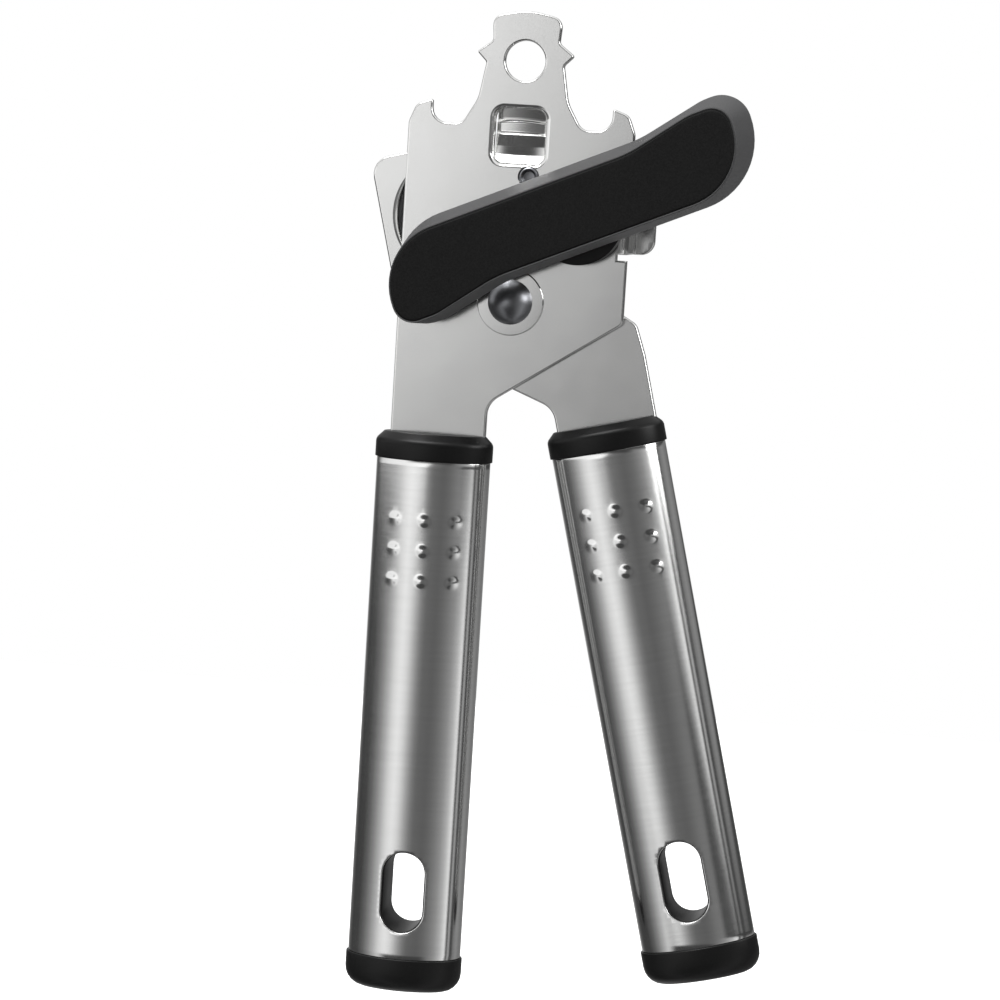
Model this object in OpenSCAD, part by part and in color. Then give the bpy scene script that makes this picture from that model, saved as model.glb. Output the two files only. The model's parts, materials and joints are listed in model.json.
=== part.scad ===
// Manual can opener: two pivoted levers, a turning key with its feed wheel and a free cutter wheel.
// Origin at the centre of the hang hole, +Z up, front at -Y, sizes in millimetres.
// The levers are drawn about the pivot rivet. The rear lever is drawn with its handle parallel
// to the front one and then swung open.

/* [Levers] */
// Thickness of the sheet that both levers are pressed from
sheet_t = 1.8; // [1.4:0.1:2.4]
// Half width of the front lever across its shoulders
shoulder_w = 23.9; // [21:0.1:29]
// Height from the pivot rivet up to the hang hole
pivot_drop = 50.2; // [48:0.1:60]
// Radius of the hang hole
hang_r = 4.2; // [2.5:0.1:4.6]
// Height of the tab above the centre of the hang hole
tab_h = 10.6; // [9:0.1:14]
// Half width of the tab around the hang hole
tab_w = 7.4; // [6.6:0.1:9]
// Reach of the small barb at each side of the tab
barb_w = 10.3; // [9.5:0.1:12]
// Angle by which the handles stand open
open_angle = 14.1; // [8:0.1:20]
// Gap between the two levers at the pivot
lever_gap = 0.3; // [0.2:0.05:0.6]

/* [Cap hooks] */
// Width of each hook at the lever's shoulder
hook_w = 5; // [4:0.1:6]
// Width of the notch inside each hook
notch_w = 6.3; // [5:0.1:7]
// Height of the notch's floor above the pivot
notch_z = 36.6; // [35:0.1:40]
// Height of the hook's tip above the notch's floor
hook_h = 4.8; // [4:0.1:6]

/* [Window tongue] */
// Width of the window
window_w = 10.6; // [8:0.1:12]
// Height of the window
window_h = 11.2; // [9:0.1:12]
// Height of the window's lower edge above the pivot
window_z = 29; // [28:0.1:31]
// Distance of the window's centre from the lever's axis
window_x = -0.3; // [-1:0.1:1]
// Depth by which the tongue is pressed back
tongue_depth = 2.9; // [2:0.1:3.2]
// Thickness of the tongue
tongue_t = 1.1; // [0.8:0.1:1.2]
// Height of the crease across the tongue above the window's lower edge
crease_h = 6; // [4:0.1:7]
// Gap between the tongue's free end and the window's upper edge
tongue_gap = 1.8; // [1:0.1:3]

/* [Can guide] */
// Height of the guide's lower edge above the pivot
guide_z = 11.3; // [10:0.1:13]
// Height of the guide
guide_h = 15.7; // [12:0.1:18]
// Depth of the guide behind the front lever's face
guide_depth = 15.3; // [13:0.1:18]
// Height of the relief cut at each end of the guide's bend
relief_h = 1.2; // [0.8:0.1:2]
// Reach of each relief past the guide's sheet
relief_w = 0.3; // [0.2:0.1:1]
// Reach of the guide's foot beyond the lever's edge
foot_w = 4.1; // [3:0.1:6]

/* [Pivot] */
// Radius of the pivot rivet's shank
rivet_r = 3; // [2:0.1:4]
// Radius of the rivet's domed head
rivet_head_r = 4.7; // [4.4:0.1:6]
// Height of the rivet's domed head
rivet_head_h = 2.6; // [1.5:0.1:3]
// Radius of the washers under the rivet's heads
washer_r = 7; // [6:0.1:8]
// Thickness of the washers under the rivet's heads
washer_t = 0.5; // [0.3:0.1:0.8]
// Radius of the stop pin
stop_r = 2.2; // [1.5:0.1:2.6]

/* [Key] */
// Length of the key
key_len = 81.6; // [70:0.1:96]
// Width of the key's straight middle
key_w = 17.9; // [15:0.1:21]
// Height by which each end bulges past the middle's edge
key_bulge = 3; // [1:0.1:4]
// Thickness of the key
key_t = 10.5; // [9:0.1:13]
// Slope of the key's sides, as the inset of its front face
key_draft = 2.8; // [1.5:0.1:3.5]
// Angle of the key at rest, from +X towards +Z
key_angle = 23.5; // [0:0.5:180]
// Distance of the key's back from the front lever
key_standoff = 6.1; // [5:0.1:9]
// Radius of the round collar behind the key
collar_r = 9.6; // [8:0.1:11]
// Distance of the collar's centre below the shaft, across the key
collar_drop = 1.9; // [0:0.1:3]
// Thickness of the soft pad let into the key's front
pad_t = 1.4; // [1:0.1:2]
// Rim of the key's body left around the pad
pad_rim = 0.5; // [0.4:0.1:1.5]
// Straight part of the key's sides at its back
skirt_t = 2.6; // [1:0.1:4]

/* [Drive] */
// Height of the key's shaft above the pivot
shaft_z = 20; // [19:0.1:22]
// Radius of the drive shaft
shaft_r = 3; // [2.5:0.1:4]
// Wall of the bush that carries the shaft
bush_wall = 1.5; // [1:0.1:2]
// Radius of the bush's flange
flange_r = 6.4; // [5.8:0.1:8]
// Thickness of the bush's flange
flange_t = 0.5; // [0.3:0.1:0.8]
// Radius of the feed wheel over its teeth
feed_r = 8.6; // [7.5:0.1:10.4]
// Thickness of the feed wheel
feed_t = 3.6; // [3:0.1:4]
// Number of teeth on the feed wheel
feed_teeth = 20; // [14:1:28]
// Depth of the feed wheel's teeth
tooth_h = 0.9; // [0.5:0.1:1.2]
// Play between the feed wheel and the can guide
guide_play = 0.5; // [0.4:0.1:1]

/* [Cutter] */
// Radius of the cutter wheel
cutter_r = 13.4; // [11:0.1:14]
// Thickness of the cutter wheel
cutter_t = 2; // [1.5:0.1:3]
// Width of the cutter's sloped edge
bevel_w = 2.4; // [1.5:0.1:3.5]
// Overlap of the cutter and the feed wheel with the handles closed
wheel_overlap = 0.3; // [0.1:0.1:0.6]
// Radius of the pressed dish that carries the cutter
dish_r = 12.4; // [11:0.1:14]
// Depth of the dish
dish_depth = 1.7; // [1.5:0.1:2.5]
// Radius of the cutter's stud
stud_r = 3; // [2:0.1:4]
// Radius of the stud's heads
stud_head_r = 5; // [4.6:0.1:6]

/* [Handles] */
// Distance of each handle's axis from the lever's axis
handle_x = 14.4; // [14:0.1:17]
// Half width of the steel sleeve
sleeve_a = 12.1; // [10.6:0.1:14.6]
// Half depth of the steel sleeve
sleeve_b = 7.25; // [6.2:0.05:8.8]
// Wall of the steel sleeve
sleeve_wall = 0.6; // [0.4:0.1:1]
// Length of the steel sleeve
sleeve_len = 106; // [86:1:130]
// Drop from the pivot to the top of the handle's collar
handle_drop = 28.6; // [27:0.1:34]
// Height of the plastic collar above the sleeve
neck_h = 5.5; // [4:0.1:8]
// Height of the plastic cap below the sleeve
cap_h = 7.6; // [6:0.1:10]
// Height of the cap's rounded end
cap_round = 3.2; // [2:0.1:4.5]
// How far the plastic stands proud of the sleeve
proud = 0.4; // [0.2:0.1:0.8]
// Width of the hole through each handle
slot_w = 9.4; // [7:0.1:11.3]
// Length of the hole through each handle
slot_len = 17.2; // [14:0.1:20.6]
// Distance from the sleeve's lower end to the hole's centre
slot_up = 14.3; // [12:0.1:20]
// Length of each lever's tang inside its handle
tang_len = 33; // [24:0.1:50]
// Radius of the pin through each tang
tang_pin_r = 1.6; // [1:0.1:2.5]

/* [Grip bumps] */
// Bumps in each row and in each column
bump_rows = 3; // [1:1:4]
// Spacing of the bumps
bump_pitch = 6.4; // [5:0.1:7]
// Distance from the sleeve's upper end to the first row
bump_drop = 12.6; // [8:0.1:20]
// Radius of a bump where it meets the sleeve
bump_r = 1.4; // [1:0.1:1.8]
// Height of a bump
bump_h = 0.45; // [0.2:0.05:0.7]

/* [Fits] */
// Radial clearance of a running fit
run_fit = 0.05; // [0.02:0.01:0.09]
// Clearance between pieces that are pushed together
push_fit = 0.1; // [0.05:0.05:0.2]
// Gap along an axis between pieces that turn
end_play = 0.2; // [0.1:0.05:0.4]
// Gap between the stop pin and the rear lever with the handles closed
stop_gap = 0.3; // [0.2:0.1:0.6]

/* [Hidden] */
$fn = 64;
OVAL_STEPS = 72;
CORNER_STEPS = 6;
PAST = 1;
SHAFT_COVER = 2;

// Depths of the faces, from front to back.
front_y = -sheet_t / 2;
back_y = sheet_t / 2;
rear_y = back_y + lever_gap;
rear_back_y = rear_y + sheet_t;
rear_mid_y = rear_y + sheet_t / 2;
feed_y = back_y + 2 * end_play;
feed_back_y = feed_y + feed_t;
dish_y = rear_y + dish_depth;
dish_back_y = dish_y + sheet_t;
cutter_y = max(dish_back_y, feed_back_y) + end_play;
cutter_back_y = cutter_y + cutter_t;
collar_y = front_y - end_play - flange_t;
key_back_y = front_y - key_standoff;
key_front_y = key_back_y - key_t;

// Places in a lever's own plane, from the pivot.
shaft_x = shoulder_w - sheet_t - guide_play - feed_r;
wheel_gap = feed_r + cutter_r - wheel_overlap;
cutter_x = shaft_x - wheel_gap;
cutter_z = shaft_z;
stop_reach = feed_r + stop_r + 1.7;
stop_x = shaft_x - stop_reach * cos(30);
stop_z = shaft_z + stop_reach * sin(30);
trim_x = stop_x - stop_r - stop_gap;
notch_x = shoulder_w - hook_w;
window_left = window_x - window_w / 2;
step_x = min(window_left - 0.7, trim_x - 3);
step_z = window_z - 1;
rear_left = cutter_x - dish_r - 3.1;
rear_top = cutter_z + dish_r + 2.5;

// Places along a handle, from the pivot.
sleeve_top = -handle_drop - neck_h;
sleeve_end = sleeve_top - sleeve_len;
slot_z = sleeve_end + slot_up;
insert_end = slot_z + slot_len / 2 + 6;
plug_top = insert_end - end_play;
tang_end = sleeve_top - tang_len;
tang_step = sleeve_top - 2;
tang_pin_z = sleeve_top - tang_len * 0.45;

// Each tang's sides, from its handle's axis: [left, right], and half its width low down.
front_tang = [2.6 - sleeve_a, sleeve_a - 1.3];
rear_tang = [2.1 - sleeve_a, sleeve_a - 0.9];
tang_half = 7;

STEEL = [0.80, 0.80, 0.80];
DARK_STEEL = [0.55, 0.56, 0.58];
BRASS = [0.75, 0.62, 0.35];
BLACK = [0.08, 0.08, 0.08];
SOFT_BLACK = [0.04, 0.04, 0.04];

function unit(v) = v / norm(v);
function turned(v, a) = [v.x * cos(a) - v.y * sin(a), v.x * sin(a) + v.y * cos(a)];
function mirrored(points) = [for (i = [len(points) - 1:-1:0]) [-points[i].x, points[i].y, points[i].z]];

// Points of one corner b between a and c, where each is [x, z, radius].
function corner(a, b, c) =
    let (p = [b.x, b.y], u = unit([a.x, a.y] - p), w = unit([c.x, c.y] - p))
    b.z == 0 ? [p] :
    let (
        half = acos(u * w) / 2,
        centre = p + unit(u + w) * b.z / sin(half),
        start = p + u * b.z / tan(half) - centre,
        sweep = (2 * half - 180) * sign(cross(u, w))
    )
    [for (i = [0:CORNER_STEPS]) centre + turned(start, sweep * i / CORNER_STEPS)];

// Closed outline through corners given as [x, z, radius].
function rounded(points) =
    let (n = len(points))
    [for (i = [0:n - 1]) each corner(points[(i + n - 1) % n], points[i], points[(i + 1) % n])];

// Oval with half axes a and b.
function oval(a, b) =
    [for (i = [0:OVAL_STEPS - 1]) [a * cos(360 * i / OVAL_STEPS), b * sin(360 * i / OVAL_STEPS)]];

// Upright slab of an (x, z) outline, from depth y0 back to depth y1.
module slab(y0, y1) {
    translate([0, y1, 0]) rotate([90, 0, 0]) linear_extrude(y1 - y0) children();
}

// Round bar along Y.
module rod(r, y0, y1) {
    slab(y0, y1) circle(r);
}

// Solid of revolution about Y, from an outline in (radius, y).
module turned_solid() {
    rotate([-90, 0, 0]) rotate_extrude() children();
}

// Flat ring along Y.
module ring(r_out, r_in, y0, y1) {
    difference() {
        rod(r_out, y0, y1);
        rod(r_in, y0 - PAST, y1 + PAST);
    }
}

// Domed head on a face at depth y, standing out towards side (-1 front, +1 back).
module dome(r, h, y, side) {
    ball_r = (r * r + h * h) / (2 * h);
    edge = asin(r / ball_r);
    arc = [for (i = [0:12]) ball_r * [sin(edge * i / 12), cos(edge * i / 12)]];
    turned_solid() polygon([for (p = concat([[0, ball_r - h]], arc)) [p.x, y + side * (p.y - ball_r + h)]]);
}

module pivot_frame() {
    translate([0, 0, -pivot_drop]) children();
}

module rear_frame() {
    pivot_frame() rotate([0, -open_angle, 0]) children();
}

module shaft_frame() {
    pivot_frame() translate([shaft_x, 0, shaft_z]) children();
}

module cutter_frame() {
    rear_frame() translate([cutter_x, 0, cutter_z]) children();
}

module left_handle_frame() {
    pivot_frame() translate([-handle_x, 0, 0]) children();
}

module right_handle_frame() {
    rear_frame() translate([handle_x, rear_mid_y, 0]) children();
}

// Right half of the front lever's head, from its crown down to its shoulder.
function head_half() =
    let (tab_top = pivot_drop + tab_h, hook_z = notch_z + hook_h)
    [
        [tab_w, tab_top - 1.5, 2.4],
        [tab_w - 0.4, tab_top - 6.6, 1],
        [barb_w, tab_top - 9.1, 0.5],
        [tab_w + 0.8, tab_top - 11.2, 0.8],
        [notch_x - notch_w - 3.1, notch_z + 5.4, 8],
        [notch_x - notch_w, notch_z, 2.6],
        [notch_x, notch_z, 3],
        [notch_x + 0.1, hook_z, 0.4],
        [shoulder_w - 1.5, hook_z - 1.2, 2.5],
        [shoulder_w, hook_z - 5, 3]
    ];

// Tang from just above the collar to its end: its sides at the collar and the narrow part below.
function tang(sides, x) =
    [
        [x + sides[1], tang_step, 0],
        [x + tang_half, tang_step - 3, 0],
        [x + tang_half, tang_end, 1.5],
        [x - tang_half, tang_end, 1.5],
        [x - tang_half, tang_step - 3, 0],
        [x + sides[0], tang_step, 0]
    ];

function front_outline() =
    concat(
        [[0, pivot_drop + tab_h, 14]],
        head_half(),
        [
            [shoulder_w, -3.2, 1.6],
            [front_tang[1] - handle_x, -21.6, 4.5]
        ],
        tang(front_tang, -handle_x),
        [
            [front_tang[0] - handle_x, -16, 0],
            [-shoulder_w - 0.01, -8, 0]
        ],
        mirrored(head_half())
    );

function rear_outline() =
    [
        [rear_left, rear_top, 4],
        [step_x, rear_top, 3],
        [step_x, step_z, 1],
        [trim_x, step_z, 1],
        [trim_x, 12, 3],
        [9, 6, 3],
        [rear_tang[1] + handle_x - 0.6, -9.4, 2.6],
        [rear_tang[1] + handle_x, -16, 2],
        each tang(rear_tang, handle_x),
        [rear_tang[0] + handle_x, -23.6, 4.5],
        [rear_left, -3.2, 1.6]
    ];

// Tongue pressed back from the window's lower edge, drawn as its section in (y, z).
module tongue() {
    low = window_z - 0.4;
    near = back_y - tongue_t;
    far = near + tongue_depth;
    front = [
        [near, low],
        [far, low + 2.2],
        [near + tongue_depth * 0.72, window_z + crease_h],
        [near + tongue_depth * 0.6, window_z + window_h - tongue_gap]
    ];
    back = [for (i = [len(front) - 1:-1:0]) front[i] + [tongue_t, 0]];
    translate([window_left + 0.3, 0, 0])
        rotate([90, 0, 90])
            linear_extrude(window_w - 0.6) polygon(concat(front, back));
}

// Sheet bent back along the lever's right edge and then outwards.
module can_guide() {
    top = guide_z + guide_h;
    back = front_y + guide_depth;
    translate([shoulder_w - sheet_t, front_y, guide_z]) cube([sheet_t, guide_depth, guide_h]);
    slab(back - sheet_t, back)
        polygon(rounded([
            [shoulder_w - sheet_t, guide_z, 0],
            [shoulder_w + foot_w, guide_z, 3],
            [shoulder_w + foot_w, top, 3],
            [shoulder_w - sheet_t, top, 0]
        ]));
}

module front_lever() {
    color(STEEL) pivot_frame() difference() {
        union() {
            difference() {
                slab(front_y, back_y) polygon(rounded(front_outline()));
                slab(front_y - PAST, back_y + PAST)
                    polygon(rounded([
                        [window_left, window_z, 2],
                        [window_left + window_w, window_z, 2],
                        [window_left + window_w, window_z + window_h, 2],
                        [window_left, window_z + window_h, 2]
                    ]));
                // Reliefs at the ends of the guide's bend.
                for (z = [guide_z - relief_h, guide_z + guide_h])
                    translate([shoulder_w - sheet_t - relief_w, front_y - PAST, z])
                        cube([sheet_t + relief_w + PAST, sheet_t + 2 * PAST, relief_h]);
            }
            tongue();
            can_guide();
        }
        rod(rivet_r, front_y - PAST, back_y + PAST);
        translate([0, 0, pivot_drop]) rod(hang_r, front_y - PAST, back_y + PAST);
        translate([stop_x, 0, stop_z]) rod(stop_r, front_y - PAST, back_y + PAST);
        translate([shaft_x, 0, shaft_z]) rod(shaft_r + run_fit + bush_wall, front_y - PAST, back_y + PAST);
        translate([-handle_x, 0, tang_pin_z]) rod(tang_pin_r, front_y - PAST, back_y + PAST);
    }
}

// Sloped wall and floor of the dish, from its outline in (radius, y).
module dish() {
    inner = dish_r - dish_depth;
    turned_solid() polygon([
        [0, dish_y], [inner - 0.8, dish_y], [dish_r - 0.8, rear_y], [dish_r + 1, rear_y],
        [dish_r + 1, rear_back_y], [dish_r, rear_back_y], [inner, dish_back_y], [0, dish_back_y]
    ]);
}

module rear_lever() {
    color(STEEL) rear_frame() difference() {
        union() {
            difference() {
                slab(rear_y, rear_back_y) polygon(rounded(rear_outline()));
                translate([cutter_x, 0, cutter_z]) rod(dish_r, rear_y - PAST, rear_back_y + PAST);
            }
            translate([cutter_x, 0, cutter_z]) dish();
        }
        // The dish is cut off where the can's rim passes and beside the tongue.
        translate([trim_x, rear_y - PAST, cutter_z - dish_r - 2])
            cube([dish_r * 2, dish_back_y, step_z - cutter_z + dish_r + 2]);
        translate([step_x, rear_y - PAST, step_z])
            cube([dish_r * 2, dish_back_y, dish_r * 2]);
        rod(rivet_r + run_fit, rear_y - PAST, rear_back_y + PAST);
        translate([cutter_x, 0, cutter_z]) rod(stud_r, rear_y - PAST, dish_back_y + PAST);
        translate([handle_x, 0, tang_pin_z]) rod(tang_pin_r, rear_y - PAST, rear_back_y + PAST);
    }
}

module pivot_rivet() {
    back = rear_back_y + end_play / 2 + washer_t;
    color(DARK_STEEL) pivot_frame() {
        dome(rivet_head_r, rivet_head_h, front_y - washer_t, -1);
        rod(rivet_r, front_y - washer_t, back);
        dome(rivet_head_r, rivet_head_h * 0.6, back, 1);
    }
}

module pivot_front_washer() {
    color(STEEL) pivot_frame() ring(washer_r, rivet_r, front_y - washer_t, front_y);
}

module pivot_spacer() {
    color(STEEL) pivot_frame() ring(washer_r - 0.5, rivet_r, back_y, rear_y);
}

module pivot_rear_washer() {
    near = rear_back_y + end_play / 2;
    color(STEEL) pivot_frame() ring(washer_r, rivet_r, near, near + washer_t);
}

module stop_pin() {
    color(DARK_STEEL) pivot_frame() translate([stop_x, 0, stop_z]) rod(stop_r, front_y, rear_back_y + 0.4);
}

// Outline of the key, drawn in by inset, in (length, width).
function key_outline(inset) =
    let (
        l = key_len / 2 - inset,
        w = key_w / 2 - inset,
        bulge = key_bulge,
        half = [
            [l * 0.36, w, 26],
            [l * 0.7, w + bulge, 20],
            [l, w + bulge, 6 - inset],
            [l, -w, 14.5 - inset]
        ]
    )
    rounded([each [for (p = half) p], each [for (p = half) [-p.x, -p.y, p.z]]]);

module key_frame() {
    shaft_frame() rotate([0, -key_angle, 0]) children();
}

module key_body() {
    skirt_y = key_back_y - skirt_t;
    pad_y = key_front_y + pad_t;
    narrow = [1 - 2 * key_draft / key_len, 1 - 2 * key_draft / key_w];
    color(BLACK) key_frame() difference() {
        union() {
            slab(skirt_y - 0.01, key_back_y) polygon(key_outline(0));
            translate([0, skirt_y, 0]) rotate([90, 0, 0])
                linear_extrude(skirt_y - key_front_y, scale = narrow, slices = 1) polygon(key_outline(0));
        }
        slab(key_front_y - PAST, pad_y) polygon(key_outline(key_draft + pad_rim));
        rod(shaft_r, pad_y + SHAFT_COVER, key_back_y + PAST);
    }
}

module key_pad() {
    color(SOFT_BLACK) key_frame()
        slab(key_front_y, key_front_y + pad_t) polygon(key_outline(key_draft + pad_rim));
}

module key_collar() {
    color(BLACK) key_frame() difference() {
        translate([0, 0, -collar_drop]) rod(collar_r, key_back_y, collar_y);
        rod(shaft_r, key_back_y - PAST, collar_y + PAST);
    }
}

module drive_shaft() {
    color(DARK_STEEL) shaft_frame() {
        rod(shaft_r, key_front_y + pad_t + SHAFT_COVER, feed_back_y);
        dome(shaft_r + 1.2, 1.2, feed_back_y, 1);
    }
}

module shaft_bush() {
    bore = shaft_r + run_fit;
    color(BRASS) shaft_frame() {
        ring(bore + bush_wall, bore, front_y, back_y);
        ring(flange_r, bore, front_y - flange_t, front_y);
    }
}

module thrust_washer() {
    color(STEEL) shaft_frame() ring(flange_r - 0.6, shaft_r, feed_y - end_play, feed_y);
}

module feed_wheel() {
    step = 360 / feed_teeth;
    root_r = feed_r - tooth_h;
    corners = [[root_r, -0.5], [root_r, -0.2], [feed_r, -0.05], [feed_r, 0.2]];
    color(DARK_STEEL) shaft_frame() difference() {
        slab(feed_y, feed_back_y)
            polygon([for (i = [0:feed_teeth - 1]) for (c = corners)
                c[0] * [cos(step * (i + c[1])), sin(step * (i + c[1]))]]);
        rod(shaft_r, feed_y - PAST, feed_back_y + PAST);
    }
}

module cutter_wheel() {
    bore = stud_r + run_fit;
    edge = 0.15;
    color(STEEL) cutter_frame() turned_solid() polygon([
        [bore, cutter_y], [cutter_r, cutter_y], [cutter_r, cutter_y + edge],
        [cutter_r - bevel_w, cutter_back_y], [bore, cutter_back_y]
    ]);
}

module cutter_stud() {
    back = cutter_back_y + end_play / 2;
    color(DARK_STEEL) cutter_frame() {
        rod(stud_head_r - 0.6, dish_y - 1.1, dish_y);
        rod(stud_r, dish_y, back);
        rod(stud_head_r, back, back + 1.1);
    }
}

module cutter_washer() {
    color(STEEL) cutter_frame() ring(stud_head_r, stud_r, dish_back_y, cutter_y - end_play / 4);
}

// Upright oval bar between two heights, grown from the sleeve's size by the given amount.
module oval_bar(z0, z1, grow) {
    translate([0, 0, z0]) linear_extrude(z1 - z0) polygon(oval(sleeve_a + grow, sleeve_b + grow));
}

// Oval bar whose section changes from one size to another.
module oval_taper(z0, grow_0, z1, grow_1) {
    hull() {
        oval_bar(z0 - 0.01, z0, grow_0);
        oval_bar(z1, z1 + 0.01, grow_1);
    }
}

// Outline of the hole through a handle, drawn in by inset, in (x, z).
module slot_outline(inset) {
    r = slot_w / 2 - inset;
    reach = slot_len / 2 - slot_w / 2;
    translate([0, slot_z]) {
        square([2 * r, 2 * reach], center = true);
        translate([0, reach]) circle(r);
        translate([0, -reach]) circle(r);
    }
}

// Ball that shows as one low bump at (x, z) on the sleeve's front.
module bump(x, z) {
    ball_r = (bump_r * bump_r + bump_h * bump_h) / (2 * bump_h);
    surface = -sleeve_b * sqrt(1 - pow(x / sleeve_a, 2));
    translate([x, surface + ball_r - bump_h, z]) sphere(ball_r);
}

module sleeve() {
    inside = sleeve_b + PAST;
    difference() {
        union() {
            oval_bar(sleeve_end, sleeve_top, 0);
            for (row = [0:bump_rows - 1])
                for (column = [0:bump_rows - 1])
                    bump((column - (bump_rows - 1) / 2) * bump_pitch, sleeve_top - bump_drop - row * bump_pitch);
        }
        oval_bar(sleeve_end - PAST, sleeve_top + PAST, -sleeve_wall);
        slab(-inside, inside) slot_outline(0);
    }
}

// Plastic collar and core that hold the tang.
module insert(sides) {
    fit_y = sheet_t / 2 + push_fit;
    collar_rest = sleeve_top + neck_h * 0.7;
    difference() {
        union() {
            oval_bar(insert_end, sleeve_top, -sleeve_wall - push_fit);
            oval_bar(sleeve_top, collar_rest, proud);
            oval_taper(collar_rest, proud, -handle_drop - 0.01, -1.3);
        }
        slab(-fit_y, fit_y)
            polygon([
                [sides[0] - push_fit, -handle_drop + PAST],
                [sides[1] + push_fit, -handle_drop + PAST],
                [sides[1] + push_fit, tang_step - push_fit],
                [tang_half + push_fit, tang_step - 3 - push_fit],
                [tang_half + push_fit, tang_end - push_fit],
                [-tang_half - push_fit, tang_end - push_fit],
                [-tang_half - push_fit, tang_step - 3 - push_fit],
                [sides[0] - push_fit, tang_step - push_fit]
            ]);
        translate([0, 0, tang_pin_z]) rod(tang_pin_r, -sleeve_b, sleeve_b);
    }
}

// Plastic plug that closes the sleeve's end and lines its hole.
module end_plug() {
    cap_end = sleeve_end - cap_h;
    inside = sleeve_b + PAST;
    difference() {
        union() {
            oval_bar(sleeve_end, plug_top, -sleeve_wall - push_fit);
            oval_bar(cap_end + cap_round, sleeve_end, proud);
            oval_taper(cap_end + 0.01, -2.4, cap_end + cap_round, proud);
        }
        slab(-inside, inside) slot_outline(push_fit);
    }
}

module tang_pin() {
    reach = sleeve_b - sleeve_wall - 2 * push_fit;
    translate([0, 0, tang_pin_z]) rod(tang_pin_r, -reach, reach);
}

module left_sleeve() {
    color(STEEL) left_handle_frame() sleeve();
}

module left_insert() {
    color(BLACK) left_handle_frame() insert(front_tang);
}

module left_end_plug() {
    color(BLACK) left_handle_frame() end_plug();
}

module left_tang_pin() {
    color(DARK_STEEL) left_handle_frame() tang_pin();
}

module right_sleeve() {
    color(STEEL) right_handle_frame() sleeve();
}

module right_insert() {
    color(BLACK) right_handle_frame() insert(rear_tang);
}

module right_end_plug() {
    color(BLACK) right_handle_frame() end_plug();
}

module right_tang_pin() {
    color(DARK_STEEL) right_handle_frame() tang_pin();
}

front_lever();
rear_lever();
pivot_rivet();
pivot_front_washer();
pivot_spacer();
pivot_rear_washer();
stop_pin();
key_body();
key_pad();
key_collar();
drive_shaft();
shaft_bush();
thrust_washer();
feed_wheel();
cutter_wheel();
cutter_stud();
cutter_washer();
left_sleeve();
left_insert();
left_end_plug();
left_tang_pin();
right_sleeve();
right_insert();
right_end_plug();
right_tang_pin();
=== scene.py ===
# %% [markdown]
# # A manual can opener
# Two pressed steel levers turn on one rivet. A plastic key drives a toothed feed wheel, a round
# cutter wheel turns freely in a dish, and each handle is a steel sleeve over plastic ends.
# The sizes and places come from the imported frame. Shapes are worked out in millimetres and are
# turned into metres when a mesh is made.

# %% Load the frame
import json
import math

import bmesh
import bpy
import numpy as np
from mathutils import Matrix, Vector
from mathutils.geometry import delaunay_2d_cdt


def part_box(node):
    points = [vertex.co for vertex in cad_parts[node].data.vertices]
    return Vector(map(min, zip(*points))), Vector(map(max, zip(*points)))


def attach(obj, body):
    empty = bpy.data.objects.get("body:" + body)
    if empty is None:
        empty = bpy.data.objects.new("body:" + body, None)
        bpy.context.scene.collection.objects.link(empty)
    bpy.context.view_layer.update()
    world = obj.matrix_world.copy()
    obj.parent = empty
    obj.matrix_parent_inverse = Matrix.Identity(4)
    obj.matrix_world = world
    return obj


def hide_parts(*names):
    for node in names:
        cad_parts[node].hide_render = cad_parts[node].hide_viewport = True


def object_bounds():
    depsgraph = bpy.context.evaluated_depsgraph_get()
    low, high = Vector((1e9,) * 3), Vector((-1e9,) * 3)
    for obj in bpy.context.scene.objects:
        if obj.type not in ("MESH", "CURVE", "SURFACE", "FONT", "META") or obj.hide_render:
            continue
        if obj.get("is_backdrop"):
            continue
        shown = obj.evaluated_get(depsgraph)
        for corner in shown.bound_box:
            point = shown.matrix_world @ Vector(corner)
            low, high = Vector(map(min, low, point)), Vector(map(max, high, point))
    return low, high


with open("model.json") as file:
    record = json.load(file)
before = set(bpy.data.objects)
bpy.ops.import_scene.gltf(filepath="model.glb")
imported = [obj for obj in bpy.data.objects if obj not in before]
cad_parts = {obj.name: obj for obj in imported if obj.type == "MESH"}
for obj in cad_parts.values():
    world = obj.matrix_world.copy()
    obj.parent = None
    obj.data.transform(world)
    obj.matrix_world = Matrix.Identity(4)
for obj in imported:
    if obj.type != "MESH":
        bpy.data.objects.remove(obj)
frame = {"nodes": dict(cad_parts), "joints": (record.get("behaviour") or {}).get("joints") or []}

CAD_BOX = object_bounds()
MM = 0.001

# %% [markdown]
# ## Places
# The joints give the three axes. A box gives a node's lowest and highest corner. The handles stand
# open by the angle between the two tang pins, seen from the rivet.


# %% Measure the frame
def box(node):
    """Lowest and highest corner of a node, in millimetres."""
    low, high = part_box(node)
    return np.array(low) / MM, np.array(high) / MM


def middle(node):
    low, high = box(node)
    return (low + high) / 2


AXES = {joint["name"]: np.array(joint["pos_m"]) / MM for joint in frame["joints"]}
PIVOT = AXES["handle_pivot"]
SHAFT = AXES["key_spin"]
CUTTER = AXES["cutter_spin"]
left_pin = middle("left_tang_pin") - PIVOT
right_pin = middle("right_tang_pin") - PIVOT
OPEN = math.atan2(right_pin[0], -right_pin[2]) - math.atan2(-left_pin[0], -left_pin[2])
HANDLE_X = -left_pin[0]
REAR_MID_Y = middle("right_tang_pin")[1]
print("pivot", PIVOT.round(2), "handles open by", round(math.degrees(OPEN), 2), "degrees")


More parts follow.
